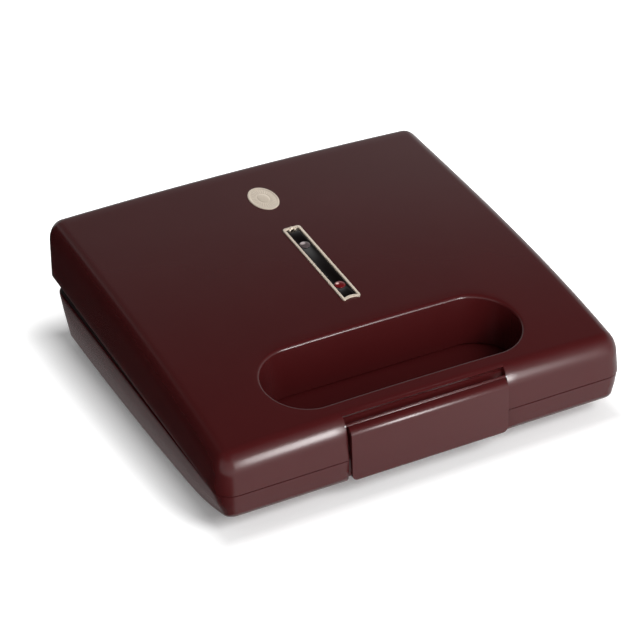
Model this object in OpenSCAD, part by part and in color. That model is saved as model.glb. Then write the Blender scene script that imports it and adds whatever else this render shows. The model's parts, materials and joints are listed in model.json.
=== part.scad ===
// Two-slice sandwich toaster: wedge-shaped clam shell with a hand well in the lid,
// an indicator strip on top and a full-height clip at the front.
// Millimetres. X runs to the right, Y to the rear, Z up. The origin lies on the
// surface the feet stand on, in the middle of the overall box.

/* [Lid shell] */
// Width across the lid
body_w = 232; // [216:1:280]
// Depth of the lid from its front face to its rear face
body_d = 229; // [226:1:276]
// Corner radius in plan
corner_r = 10; // [6:1:16]
// Wall thickness of both housings
wall = 2.5; // [2:0.1:3]
// Height of the lid's lower edge at the front
rim_front_z = 26.1; // [24:0.1:30]
// Height of the lid's lower edge at the rear
rim_rear_z = 42.6; // [38:0.1:46]
// Height of the lid's top at the front, before the edge is rounded
top_front_z = 48.5; // [46:0.5:58]
// Height of the lid's top at the rear
top_rear_z = 76.7; // [74:0.1:92]
// How far the top climbs in its first third
top_front_climb = 17.9; // [10:0.1:22]
// How far the top climbs in its last third
top_rear_climb = 5.9; // [2:0.1:10]
// How much lower the top is at the sides than in the middle
crown = 2.2; // [0:0.1:4]
// Width of the rounding round the lid's top edge
fillet_w = 8; // [5:0.5:10]
// Height of the rounding round the lid's top edge
fillet_h = 10; // [6:0.5:12]
// Inward lean of the lid's side walls
lid_draft = 0.8; // [0.4:0.1:1.5]

/* [Base shell] */
// Height of the base's upper edge at the front
base_rim_front_z = 25.6; // [23:0.1:29]
// Height of the base's upper edge at the rear
base_rim_rear_z = 35.6; // [32:0.1:38]
// How far the base's sides stand inside the lid's
base_inset = 0.4; // [0.2:0.1:1.5]
// How far the base's rear stands inside the lid's rear
base_setback = 8.5; // [8:0.1:12]
// Inward lean of the base's side walls from rim to bottom
base_draft = 3.6; // [2:0.1:5]
// Share of that lean on the front wall
front_draft_share = 0.3; // [0:0.05:1]
// Rounding of the base's bottom edge
base_round = 3.5; // [2:0.5:5]
// Lowest height of the base's underside
keel_z = 1.7; // [1.5:0.1:3]
// Rise of the underside towards front and rear
keel_rise = 2.8; // [1:0.1:4]
// Extra lift of the underside at the very front
chin_lift = 7.7; // [4:0.1:9]
// Depth over which that lift fades out
chin_d = 50; // [30:1:70]

/* [Hand well] */
// Length of the well across the lid
well_l = 144.8; // [110:0.1:175]
// Width of the well from front to rear
well_w = 45.6; // [36:0.1:48]
// Distance of the well's middle from the front face
well_y = 38.3; // [36:0.1:42]

/* [Cooking plates] */
// Width of a plate
plate_w = 212; // [200:1:212]
// Depth of a plate
plate_d = 130; // [124:1:132]
// Distance of the plates' front edge from the front face
plate_start = 73; // [72:0.5:76]
// Gap between the closed plates
plate_gap = 0.8; // [0.4:0.1:1.6]
// Thickness of a plate's flange
flange_t = 2.2; // [1.8:0.1:2.6]
// Depth of a toasting pocket
pocket_depth = 10.5; // [8:0.5:11]
// Wall under and round a pocket
pocket_wall = 2.4; // [2:0.1:2.6]
// Width of the ridge that cuts a sandwich in two
ridge_w = 5; // [4:0.5:8]
// Radius of a pocket's corners
pocket_r = 8; // [6:0.5:10]
// Margin between the pockets and the plate's front and rear edges
pocket_margin = 9; // [8:0.5:12]
// Inward lean of a pocket's walls
pocket_lean = 4; // [2:0.5:5]

/* [Heating] */
// Radius of a heating element's tube
element_r = 3.2; // [2.5:0.1:3.4]
// Distance between the legs of an element
element_span = 64; // [50:1:70]
// Sheet thickness of a heat reflector
sheet_t = 0.8; // [0.6:0.1:1]

/* [Clip] */
// Width of the clip
clip_w = 89.4; // [70:0.2:108]
// Gap at each side of the clip
clip_side_gap = 1.1; // [0.6:0.1:2]
// How far the clip's face stands in front of the lid
clip_proud = 1.7; // [1:0.1:3]
// Height of the clip's lower edge
clip_bottom_z = 14; // [13:0.1:16]
// Thickness of the clip
clip_t = 2.4; // [2:0.1:3]
// Radius of the clip's pivot pin
clip_pin_r = 1.5; // [1.2:0.1:1.8]
// Depth of the recess that the clip lies in
clip_recess_d = 7; // [6.5:0.1:9]
// Depth of the base's recess behind the clip
strike_recess_d = 9; // [8:0.5:10]

/* [Hinge] */
// Distance of each hinge from the middle
hinge_x = 70; // [50:1:80]
// Distance of the hinge axis from the lid's rear face
hinge_inset = 8; // [7.5:0.1:9]
// Depth of the hinge axis below the lid's lower rear edge
hinge_drop = 3.4; // [3:0.1:4]
// Radius of the hinge pins
hinge_pin_r = 2; // [1.5:0.1:2.4]
// Radius of the hinge knuckles
knuckle_r = 4.5; // [4:0.1:4.8]
// Width of the base's knuckle
post_w = 9.6; // [7:0.2:12]
// Width of each of the lid's knuckles
lug_w = 5; // [3.5:0.5:6]

/* [Indicator strip] */
// Distance of the strip's middle from the front face
strip_y = 118; // [112:1:126]
// Length of the strip
strip_l = 72.6; // [60:0.2:80]
// Width of the strip
strip_w = 10.4; // [9:0.2:14]
// Width of the metal edge
strip_edge = 1.25; // [1:0.05:2]
// Radius of the lamps
lamp_r = 2.6; // [2:0.1:2.8]
// Distance of the red lamp in front of the strip's middle
red_lamp_at = 22; // [16:1:26]
// Distance of the clear lamp behind the strip's middle
clear_lamp_at = 19; // [14:1:26]
// Distance of the medallion's middle from the front face
medallion_y = 188; // [176:1:196]
// Length of the medallion
medallion_l = 22; // [16:1:26]
// Width of the medallion
medallion_w = 14; // [10:1:18]

/* [Feet and fixings] */
// Radius of a foot
foot_r = 8; // [6:0.5:10]
// Distance of the feet from the middle
foot_x = 88; // [70:1:92]
// Distance of the front feet from the front face
foot_front = 35; // [30:1:50]
// Distance of the rear feet from the lid's rear face
foot_rear = 34; // [30:1:50]
// Radius of a housing screw's shank
screw_r = 1.4; // [1.2:0.1:1.6]
// Radius of the bore that the mains lead would pass through
inlet_r = 3.6; // [3:0.1:4.5]
// Running clearance of pins in their bores
pin_gap = 0.05; // [0.02:0.01:0.1]
// Gap between pieces that are dropped into each other
fit_gap = 0.3; // [0.2:0.05:0.5]

/* [Hidden] */

// colours
burgundy = [0.27, 0.09, 0.1];
dark_plastic = [0.09, 0.08, 0.08];
coated = [0.13, 0.13, 0.14];
steel = [0.72, 0.72, 0.74];
rose_metal = [0.84, 0.68, 0.58];

// overall places
half_w = body_w / 2;
front_y = -(body_d - clip_proud) / 2;
rear_y = front_y + body_d;
base_rear_y = rear_y - base_setback;
lid_tilt = atan((rim_rear_z - rim_front_z) / body_d);
base_tilt = atan((base_rim_rear_z - base_rim_front_z) / body_d);
hinge_y = rear_y - hinge_inset;
hinge_z = rim_rear_z - hinge_drop;
frame_drop = 1.2;
big = 400;
// holes: pilot that a screw bites into, free hole, recess and bore clearance
hole_gap = 0.1;
pilot_r = screw_r + hole_gap;
free_r = screw_r + 2 * hole_gap;
head_r = 2.9;
head_t = 2;
small_head_r = 2.7;
small_head_t = 1.6;
recess_r = head_r + fit_gap;
boss_r = 3.6;

function mix(a, b, t) = a + (b - a) * t;
function along(y) = (y - front_y) / body_d;
function rim_z(y) = mix(rim_front_z, rim_rear_z, along(y));
function base_rim_z(y) = mix(base_rim_front_z, base_rim_rear_z, along(y));
function bezier(a, b, c, d, t) = a * pow(1 - t, 3) + 3 * b * t * pow(1 - t, 2)
  + 3 * c * t * t * (1 - t) + d * pow(t, 3);
function top_mid_z(y) = bezier(top_front_z, top_front_z + top_front_climb,
  top_rear_z - top_rear_climb, top_rear_z, along(y));
function top_z(x, y) = top_mid_z(y) - crown * pow(x / half_w, 2);
function top_slope(y) = atan((top_mid_z(y + 1) - top_mid_z(y - 1)) / 2);
function chin(d) = d < chin_d ? chin_lift * pow(1 - max(d, 0) / chin_d, 2) : 0;
function under_z(y) = keel_z + keel_rise * pow((y + 4) / 100, 2) + chin(y - front_y);

// ---------- outlines and lofts ----------

function side_points(a, b, n) = [for (i = [0:n - 1]) mix(a, b, i / n)];
function arc_points(c, r, start, n, turn = 90) =
  [for (i = [0:n - 1]) c + r * [cos(start + turn * i / n), sin(start + turn * i / n)]];

// rounded rectangle, counter-clockwise, with points along its sides as well
function round_outline(hw, y0, y1, r, nc, nx, ny) = concat(
  arc_points([hw - r, y1 - r], r, 0, nc),
  side_points([hw - r, y1], [r - hw, y1], nx),
  arc_points([r - hw, y1 - r], r, 90, nc),
  side_points([-hw, y1 - r], [-hw, y0 + r], ny),
  arc_points([r - hw, y0 + r], r, 180, nc),
  side_points([r - hw, y0], [hw - r, y0], nx),
  arc_points([hw - r, y0 + r], r, 270, nc),
  side_points([hw, y0 + r], [hw, y1 - r], ny));

// solid through equal rings of points, closed by a fan at each end
module loft(rings) {
  n = len(rings[0]);
  m = len(rings);
  ends = [for (ring = [rings[0], rings[m - 1]]) [for (k = [0:2]) mean([for (p = ring) p[k]])]];
  points = concat([for (ring = rings) for (p = ring) p], ends);
  skin = [for (j = [0:m - 2]) for (i = [0:n - 1]) for (f = quad(j * n, n, i)) f];
  low = [for (i = [0:n - 1]) [i, (i + 1) % n, m * n]];
  high = [for (i = [0:n - 1]) [(m - 1) * n + (i + 1) % n, (m - 1) * n + i, m * n + 1]];
  polyhedron(points, concat(skin, low, high), convexity = 6);
}
function sum_to(v, i) = i < 0 ? 0 : v[i] + sum_to(v, i - 1);
function mean(v) = sum_to(v, len(v) - 1) / len(v);
function quad(o, n, i) = [[o + i, o + n + i, o + (i + 1) % n],
  [o + (i + 1) % n, o + n + i, o + n + (i + 1) % n]];

// ring of the lid: s is the share of the wall's height, h what is added above that
function lid_ring(inset, s, h, nc, nx, ny) =
  [for (p = round_outline(half_w - inset, front_y + inset, rear_y - inset,
      max(corner_r - inset, 3), nc, nx, ny))
    [p[0], p[1], mix(rim_z(p[1]), top_z(p[0], p[1]) - fillet_h, s) + h]];

// ring of the base, measured the same way from its underside; its front leans less
function base_ring(inset, s, h, nc, nx, ny, thick = 0) =
  let (ease = min(inset - thick, base_draft) * (1 - front_draft_share))
  [for (p = round_outline(half_w - base_inset - inset, front_y + inset - ease,
      base_rear_y - inset, max(corner_r - inset, 3), nc, nx, ny))
    [p[0], p[1], mix(under_z(p[1]), base_rim_z(p[1]), s) + h]];

fillet_steps = 5;
top_insets = [22, 44, 70, 98];
module lid_outer() {
  walls = [[0, 0, 0], [lid_draft * 0.5, 0.5, 0], [lid_draft, 1, 0]];
  edge = [for (i = [1:fillet_steps]) let (a = 90 * i / fillet_steps)
    [lid_draft + fillet_w * (1 - cos(a)), 1, fillet_h * sin(a)]];
  top = [for (i = top_insets) [i, 1, fillet_h]];
  loft([for (r = concat(walls, edge, top)) lid_ring(r[0], r[1], r[2], 7, 8, 12)]);
}
module lid_hollow() {
  walls = [[wall, 0, -6], [wall + lid_draft, 1, 0]];
  edge = [for (i = [1:3]) let (a = 30 * i)
    [wall + lid_draft + (fillet_w - wall) * (1 - cos(a)), 1, (fillet_h - wall) * sin(a)]];
  top = [for (i = [40, 90]) [i, 1, fillet_h - wall]];
  loft([for (r = concat(walls, edge, top)) lid_ring(r[0], r[1], r[2], 4, 6, 8)]);
}
module base_outer() {
  floor_rings = [for (i = [98, 66, 36, 16]) [i, 0, 0]];
  edge = [for (a = [0, 30, 60, 90])
    [base_draft + base_round * (1 - sin(a)), 0, base_round * (1 - cos(a))]];
  walls = [[base_draft * 0.45, 0.55, 0], [0.1, 0.96, 0], [0.5, 1, 0]];
  loft([for (r = concat(floor_rings, edge, walls)) base_ring(r[0], r[1], r[2], 7, 8, 12)]);
}
module base_hollow() {
  floor_rings = [for (i = [90, 40]) [i, 0, wall]];
  edge = [for (a = [0, 45, 90])
    [wall + base_draft + base_round * (1 - sin(a)), 0, wall + base_round * (1 - cos(a))]];
  walls = [[wall + 0.1, 1, 8]];
  loft([for (r = concat(floor_rings, edge, walls)) base_ring(r[0], r[1], r[2], 4, 6, 8, wall)]);
}

// places pieces on the lid's rim plane: Y along it from the front, Z square to it
module on_rim() { translate([0, front_y, rim_front_z]) rotate([lid_tilt, 0, 0]) children(); }
// everything above the plane of the base's rim
module above_base_rim() {
  translate([0, front_y, base_rim_front_z]) rotate([base_tilt, 0, 0])
    translate([-big / 2, -big / 2, 0]) cube([big, 2 * big, big]);
}
module x_cylinder(r, l, x = 0) {
  translate([x - l / 2, 0, 0]) rotate([0, 90, 0]) cylinder(r = r, h = l, $fn = 48);
}
module slot_prism(l, w, h) {
  for (s = [-1, 1]) translate([s * (l - w) / 2, 0, 0]) cylinder(r = w / 2, h = h, $fn = 96);
  translate([-(l - w) / 2, -w / 2, 0]) cube([l - w, w, h]);
}
module slab(hw, y0, y1, z0, z1, r = 3) {
  translate([0, 0, z0]) linear_extrude(z1 - z0) polygon(round_outline(hw, y0, y1, r, 6, 1, 1));
}
// places a copy at the left and the right
module both_sides() { children(); mirror([1, 0, 0]) children(); }

// ---------- hand well, clip recess, fixing places ----------

well_wall = 2.5;
module well_hole(extra = 0) {
  translate([0, front_y + well_y, -10]) slot_prism(well_l + 2 * extra, well_w + 2 * extra, 120);
}
clip_space_w = clip_w + 2 * clip_side_gap;
module recess_box(d, extra, z0, z1) {
  w = clip_space_w + 2 * extra;
  translate([-w / 2, front_y - 10, z0]) cube([w, 10 + d + extra, z1 - z0]);
}
cheek = 5;
hinge_cut_w = post_w + 2 * lug_w + 4 * fit_gap + 8;
module hinge_cut(y_front, y_rear, z0, z1) {
  both_sides() translate([hinge_x - hinge_cut_w / 2, hinge_y - y_front, z0])
    cube([hinge_cut_w, y_front + y_rear, z1 - z0]);
}
// [x, distance from the front face or, if negative, from the lid's rear face]
lid_fixings = [[100, 17], [101, -13], [32, -13]];
base_fixings = [[100, 20], [99, -20], [32, -20]];
function place_y(d) = d > 0 ? front_y + d : rear_y + d;
module at_fixings(list) { both_sides() for (p = list) translate([p[0], place_y(p[1]), 0]) children(); }
// the lid's own fixings stand square to its rim plane
module at_lid_fixings() {
  both_sides() for (p = lid_fixings) {
    y = place_y(p[1]);
    translate([p[0], y, rim_z(y)]) rotate([lid_tilt, 0, 0]) children();
  }
}
bracket_screw_x = [-9.5, 9.5];
bracket_screw_y = -10.5;
bracket_low = 7.5;
bracket_t = 2;
module at_bracket_screws() {
  both_sides() for (x = bracket_screw_x) translate([hinge_x + x, hinge_y + bracket_screw_y, 0]) children();
}

// ---------- lid ----------

strip_z = top_mid_z(front_y + strip_y);
strip_tilt = atan((top_mid_z(front_y + strip_y + 30) - top_mid_z(front_y + strip_y - 30)) / 60);
module on_strip() { translate([0, front_y + strip_y, strip_z]) rotate([strip_tilt, 0, 0]) children(); }
module on_medallion() {
  y = front_y + medallion_y;
  translate([0, y, top_mid_z(y)]) rotate([top_slope(y), 0, 0]) children();
}
strip_seat = 0.35;
strip_proud = 0.55;
// the strip's front end is hollowed by an arc that leaves a tip at each corner
strip_arch = 1.3;
strip_tip = 1.1;
strip_arch_r = (pow(strip_w / 2 - strip_tip, 2) + pow(strip_arch, 2)) / (2 * strip_arch);
module strip_prism(grow, z0, z1) {
  difference() {
    slab(strip_w / 2 + grow, -strip_l / 2 - grow, strip_l / 2 + grow, z0, z1, 1.6 + max(grow, -0.8));
    translate([0, strip_arch - strip_arch_r - strip_l / 2, z0 - 1])
      cylinder(r = strip_arch_r - grow, h = z1 - z0 + 2, $fn = 64);
  }
}
medallion_seat = 0.7;
function ellipse_points(a, b, n) = [for (i = [0:n - 1]) [a * cos(360 * i / n), b * sin(360 * i / n)]];

clip_axis_in = 3.4;
clip_axis_up = 18.2;
clip_axis_y = front_y + clip_axis_in;
clip_axis_z = rim_front_z + clip_axis_up;
module on_clip_axis() { translate([0, clip_axis_y, clip_axis_z]) children(); }

lid_pilot_h = 14;
module lid_shell() {
  color(burgundy) difference() {
    lid_outer();
    difference() {
      lid_hollow();
      well_hole(well_wall);
      recess_box(clip_recess_d, cheek, 0, 100);
      at_lid_fixings() translate([0, 0, lid_frame_low + lid_frame_t])
        cylinder(r = boss_r, h = 60, $fn = 32);
      at_bracket_screws() translate([0, 0, hinge_z + bracket_low + bracket_t])
        cylinder(r = 3, h = 40, $fn = 32);
    }
    well_hole();
    recess_box(clip_recess_d, 0, 0, 100);
    on_clip_axis() x_cylinder(clip_pin_r + pin_gap, clip_space_w + 2 * cheek - 2);
    at_lid_fixings() cylinder(r = pilot_r, h = lid_pilot_h, $fn = 24);
    at_bracket_screws() translate([0, 0, hinge_z])
      cylinder(r = pilot_r, h = bracket_low + bracket_t + 9, $fn = 24);
    on_strip() strip_prism(hole_gap, -strip_seat, 8);
    on_strip() strip_prism(hole_gap - strip_edge / 2, -12, 8);
    on_medallion() translate([0, 0, -medallion_seat]) linear_extrude(6)
      polygon(ellipse_points(medallion_w / 2 + hole_gap, medallion_l / 2 + hole_gap, 40));
  }
}

lid_frame_low = 0.3;
lid_frame_t = 2.4;
screw_sink = 1.4;
skirt_t = 2;
skirt_h = 20.5;
module plate_ring(grow_out, grow_in, z0, z1) {
  difference() {
    slab(plate_w / 2 + grow_out, plate_start - grow_out, plate_start + plate_d + grow_out, z0, z1, 5);
    slab(plate_w / 2 + grow_in, plate_start - grow_in, plate_start + plate_d + grow_in, z0 - 1, z1 + 1, 4);
  }
}
module lid_frame() {
  hw = half_w - wall - 2 * fit_gap;
  rim_d = body_d / cos(lid_tilt);
  color(dark_plastic) difference() {
    on_rim() union() {
      difference() {
        slab(hw, wall + 2 * fit_gap, rim_d - wall - 3 * fit_gap, lid_frame_low,
          lid_frame_low + lid_frame_t, corner_r - wall);
        slab(plate_w / 2 + 0.5, plate_start - 0.5, plate_start + plate_d + 0.5, -5, 10, 4);
      }
      plate_ring(0.5 + skirt_t, 0.5, lid_frame_low, skirt_h);
    }
    well_hole(well_wall + fit_gap);
    recess_box(clip_recess_d, cheek + fit_gap, 0, 100);
    hinge_cut(7, 12, 20, 100);
    at_lid_fixings() {
      translate([0, 0, -4]) cylinder(r = small_head_r + fit_gap, h = 4 + screw_sink, $fn = 32);
      translate([0, 0, -4]) cylinder(r = pilot_r, h = 12, $fn = 24);
    }
  }
}

// ---------- cooking plates ----------

// outline of a three-cornered pocket, inset by d, with corners of radius r
function unit(v) = v / norm(v);
function turn_angle(v) = atan2(v[1], v[0]);
function corner_centre(v, i, d) =
  let (a = unit(v[(i + 1) % 3] - v[i]), b = unit(v[(i + 2) % 3] - v[i]),
    half = acos(a * b) / 2)
  v[i] + unit(a + b) * d / sin(half);
function pocket_outline(v, d, r, n) = [for (i = [0:2])
  let (c = corner_centre(v, i, d + r),
    incoming = v[i] - v[(i + 2) % 3],
    outgoing = v[(i + 1) % 3] - v[i],
    start = turn_angle(incoming) - 90,
    sweep = (turn_angle(outgoing) - turn_angle(incoming) + 720) % 360)
  for (k = [0:n]) c + r * [cos(start + sweep * k / n), sin(start + sweep * k / n)]];
// ring of a pocket, drawn in by d from its brim, at height z
function pocket_ring(v, d, z) =
  [for (p = pocket_outline(v, half_ridge + d, pocket_r - d, 4)) [p[0], p[1], z]];

pocket_x0 = 4;
pocket_x1 = plate_w / 2 - 9.5;
pocket_y0 = plate_start + pocket_margin;
pocket_y1 = plate_start + plate_d - pocket_margin;
half_ridge = ridge_w / 2;
rear_pocket = [[pocket_x0, pocket_y0], [pocket_x1, pocket_y1], [pocket_x0, pocket_y1]];
front_pocket = [[pocket_x0, pocket_y0], [pocket_x1, pocket_y0], [pocket_x1, pocket_y1]];
// the hollow of one pocket, opening at height 0 and growing downwards
module pocket_hollow(v) {
  rings = [[pocket_lean, -pocket_depth], [pocket_lean * 0.55, 2.2 - pocket_depth], [0, 0], [0, 2]];
  loft([for (r = rings) pocket_ring(v, r[0], r[1])]);
}
module pocket_body(v) {
  loft([pocket_ring(v, pocket_lean - pocket_wall, -pocket_depth - pocket_wall),
    pocket_ring(v, -pocket_wall, -0.5)]);
}
post_x = plate_w / 2 - 5;
plate_posts = [[post_x, plate_start + 20], [post_x, plate_start + plate_d - 20],
  [0, plate_start + 5], [0, plate_start + plate_d - 5]];
module at_plate_posts() {
  for (p = plate_posts) {
    translate([p[0], p[1], 0]) children();
    if (p[0] > 0) translate([-p[0], p[1], 0]) children();
  }
}
plate_back = pocket_depth + pocket_wall;
element_gap = 0.2;
element_h = plate_back + element_gap + element_r;
reflector_h = element_h + element_r + 0.6;
post_r = 3;
// plate lying face up with its rim at height 0
module plate() {
  difference() {
    union() {
      slab(plate_w / 2, plate_start, plate_start + plate_d, -flange_t, 0, 5);
      both_sides() { pocket_body(rear_pocket); pocket_body(front_pocket); }
      at_plate_posts() translate([0, 0, -reflector_h]) cylinder(r = post_r, h = reflector_h - 1, $fn = 32);
      translate([0, plate_start + plate_d / 2, -plate_back]) cylinder(r = 6, h = plate_back - 1, $fn = 48);
    }
    both_sides() { pocket_hollow(rear_pocket); pocket_hollow(front_pocket); }
    at_plate_posts() translate([0, 0, -reflector_h - 1]) cylinder(r = pilot_r, h = 9, $fn = 24);
  }
}
module element() {
  y = plate_start + plate_d / 2;
  bend = element_span / 2;
  x_end = plate_w / 2 - 14 - bend;
  x_start = -plate_w / 2 + 20;
  translate([0, y, -element_h]) {
    for (s = [-1, 1]) translate([0, s * bend, 0]) {
      x_cylinder(element_r, x_end - x_start, (x_end + x_start) / 2);
      x_cylinder(element_r - 1.8, 8, x_start - 4);
    }
    translate([x_end, 0, 0]) rotate([0, 0, -90]) rotate_extrude(angle = 180, $fn = 64)
      translate([bend, 0]) circle(r = element_r, $fn = 32);
  }
}
module reflector() {
  hw = plate_w / 2 - 0.3;
  y0 = plate_start + 0.3;
  y1 = plate_start + plate_d - 0.3;
  difference() {
    slab(hw, y0, y1, -reflector_h - sheet_t, -reflector_h + 5, 4);
    slab(hw - sheet_t, y0 + sheet_t, y1 - sheet_t, -reflector_h, -reflector_h + 6, 3.2);
    at_plate_posts() translate([0, 0, -reflector_h - 5]) cylinder(r = free_r, h = 9, $fn = 24);
    translate([0, plate_start + plate_d / 2, -reflector_h - 3]) cylinder(r = 9, h = 9, $fn = 48);
    for (s = [-1, 1]) translate([0, plate_start + plate_d / 2 + s * element_span / 2, -element_h])
      x_cylinder(element_r + 1, 60, -plate_w / 2 + 10);
  }
}
module plate_screws() {
  at_plate_posts() translate([0, 0, -reflector_h - sheet_t]) {
    cylinder(r = screw_r, h = 7.5, $fn = 24);
    translate([0, 0, -small_head_t]) cylinder(r = small_head_r, h = small_head_t, $fn = 32);
  }
}
// lower half hangs below its plane; the upper half is turned over above it
lower_plane = -frame_drop - plate_gap / 2 + 0.4;
upper_plane = lower_plane + plate_gap;
module in_base() { on_rim() translate([0, 0, lower_plane]) children(); }
module in_lid() { on_rim() translate([0, 0, upper_plane]) mirror([0, 0, 1]) children(); }
module lower_plate() { color(coated) in_base() plate(); }
module upper_plate() { color(coated) in_lid() plate(); }
module lower_element() { color(steel) in_base() element(); }
module upper_element() { color(steel) in_lid() element(); }
module lower_reflector() { color(steel) in_base() reflector(); }
module upper_reflector() { color(steel) in_lid() reflector(); }
module lower_plate_screws() { color(steel) in_base() plate_screws(); }
module upper_plate_screws() { color(steel) in_lid() plate_screws(); }
module thermostat() {
  color([0.85, 0.83, 0.78]) in_base() translate([0, plate_start + plate_d / 2, 0]) {
    translate([0, 0, -plate_back - 8]) cylinder(r = 7.5, h = 7.8, $fn = 48);
    for (s = [-1, 1]) translate([s * 4 - 0.4, -3, -plate_back - 9.5]) cube([0.8, 6, 1.6]);
  }
}
module thermal_fuse() {
  fuse_r = 2.2;
  color([0.9, 0.88, 0.82]) in_lid()
    translate([0, plate_start + plate_d / 2 + 20, -reflector_h - sheet_t - fuse_r - hole_gap]) {
      x_cylinder(fuse_r, 26);
      x_cylinder(0.6, 40);
    }
}

// ---------- base ----------

deck_t = 2.2;
frame_base_z = 15;
frame_pilot_h = 9;
rear_fixings = [base_fixings[1], base_fixings[2]];
base_boss_r = 4.2;
socket_z = 5.6;
socket_roof = 2.5;
peg_r = 2;
vent_pitch = 9;
vent_x = 42;
vent_w = 3;
vent_l = 32;
head_z = 9;
ledge_w = 36;
ledge_d = 4.9;
hook_w = 24;
block_x = 30;
block_y = 30;
block_l = 30;
block_w = 14;
block_seat = 0.8;
block_z = max(under_z(front_y + block_y), under_z(front_y + block_y + block_w)) + wall + block_seat;
module at_feet() {
  both_sides() {
    translate([foot_x, front_y + foot_front, 0]) children();
    translate([foot_x, rear_y - foot_rear, 0]) children();
  }
}
module at_inlet() { translate([0, base_rear_y, inlet_z]) rotate([90, 0, 0]) children(); }
module base_shell() {
  color(burgundy) difference() {
    union() {
      base_outer();
      at_inlet() translate([0, 0, inlet_set]) cylinder(r = flange_r + 1, h = 5, $fn = 64);
    }
    difference() {
      base_hollow();
      recess_box(strike_recess_d, wall, 0, 60);
      at_feet() cylinder(r = foot_r + 2, h = socket_z + socket_roof, $fn = 48);
      at_fixings(base_fixings) cylinder(r = base_boss_r, h = frame_base_z, $fn = 32);
      post_seats();
      translate([block_x - 1, front_y + block_y - 1, 0]) cube([block_l + 2, block_w + 2, block_z]);
    }
    difference() {
      recess_box(strike_recess_d, 0, -5, 60);
      // ledge that the clip snaps under
      translate([-ledge_w / 2, front_y + ledge_d, clip_bottom_z + 5])
        cube([ledge_w, strike_recess_d + 1 - ledge_d, 2]);
    }
    at_feet() translate([0, 0, -5]) cylinder(r = foot_r + hole_gap, h = socket_z + 5, $fn = 48);
    at_feet() translate([0, 0, -5]) cylinder(r = peg_r + hole_gap, h = socket_z + socket_roof + 6, $fn = 32);
    at_fixings(base_fixings) screw_hole();
    at_post_screws() screw_hole();
    hinge_cut(5.6, 20, hinge_z - knuckle_r - 0.8, 100);
    at_inlet() translate([0, 0, -5]) cylinder(r = sleeve_r + hole_gap, h = 16, $fn = 48);
    for (s = [-1, 1], i = [-3:3])
      translate([s * vent_x + i * vent_pitch - vent_w / 2, -vent_l / 2, -5]) cube([vent_w, vent_l, 12]);
  }
}
// recess for a screw's head, and a free hole for its shank
module screw_hole() {
  translate([0, 0, -5]) cylinder(r = recess_r, h = 5 + head_z, $fn = 32);
  translate([0, 0, -5]) cylinder(r = free_r, h = 40, $fn = 24);
}
inlet_z = 19;
// depth of the inlet's flat seat below the rear of the base's rim
inlet_set = 0.6;
sleeve_r = inlet_r + 2.3;
flange_r = inlet_r + 4;
flange_h = 2;
inner_flange_at = wall + base_draft + 0.2;
post_seat_z = 13;
post_front = 15;
post_back_low = base_setback - hinge_inset + wall + base_draft + 0.4;
post_back_high = base_setback - hinge_inset + wall + base_draft / 3;
post_screw_y = 9.5;
module at_post_screws() { both_sides() translate([hinge_x, hinge_y - post_screw_y, 0]) children(); }
module post_seats() {
  both_sides() translate([hinge_x - 8, hinge_y - post_front - 1, 0]) cube([16, 30, post_seat_z]);
}
// how far the tub's wall leans in at the deck's lower face
deck_lean = 0.55 * base_draft;
deck_y0 = wall + 0.6;
deck_y1 = plate_start - 0.5 - skirt_t - fit_gap;
module front_deck() {
  color(burgundy) difference() {
    union() {
      on_rim() slab(half_w - base_inset - wall - fit_gap - deck_lean, deck_y0, deck_y1,
        -frame_drop - deck_t, -frame_drop, corner_r - wall + 0.5);
      frame_bosses([base_fixings[0]]);
    }
    recess_box(strike_recess_d, wall + fit_gap, 0, 60);
    frame_pilots([base_fixings[0]]);
  }
}
// bosses that stand on the base's own and carry what is screwed down from below
module frame_bosses(list) {
  intersection() {
    at_fixings(list) translate([0, 0, frame_base_z]) cylinder(r = boss_r, h = 60, $fn = 32);
    on_rim() translate([-big / 2, 0, -60]) cube([big, big, 60 - frame_drop]);
  }
}
module frame_pilots(list) {
  at_fixings(list) translate([0, 0, frame_base_z - 5])
    cylinder(r = pilot_r, h = frame_pilot_h + 5, $fn = 24);
}
skirt_low = reflector_h + sheet_t + 1.2;
module base_frame() {
  hw = half_w - base_inset;
  y_start = plate_start - 0.5 - skirt_t;
  y_end = (base_rear_y - front_y) / cos(lid_tilt);
  inner = wall + fit_gap + 1.3;
  color(dark_plastic) difference() {
    union() {
      // flange that fills the wedge between the two rims
      intersection() {
        on_rim() slab(hw - 1, y_start, y_end - 1.2, -14, -frame_drop, corner_r - 1);
        above_base_rim();
      }
      // plate surround inside the tub
      on_rim() slab(hw - inner, y_start, y_end - inner - 1.4, -frame_drop - 2.6, -frame_drop, 5);
      on_rim() slab(plate_w / 2 + 0.5 + skirt_t, y_start, plate_start + plate_d + 0.5 + skirt_t,
        -skirt_low, -frame_drop, 5);
      frame_bosses(rear_fixings);
    }
    on_rim() slab(plate_w / 2 + 0.5, plate_start - 0.5, plate_start + plate_d + 0.5, -60, 10, 4);
    hinge_cut(8.6, 20, 20, 100);
    hinge_cut(post_front + 0.6, 20, 0, hinge_z - knuckle_r + 3);
    frame_pilots(rear_fixings);
  }
}
module base_screws() {
  color(steel) {
    at_fixings(base_fixings) fixing_screw();
    at_post_screws() fixing_screw();
  }
}
module fixing_screw() {
  translate([0, 0, head_z]) cylinder(r = screw_r, h = 14, $fn = 24);
  translate([0, 0, head_z - head_t]) cylinder(r = head_r, h = head_t, $fn = 32);
}
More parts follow.
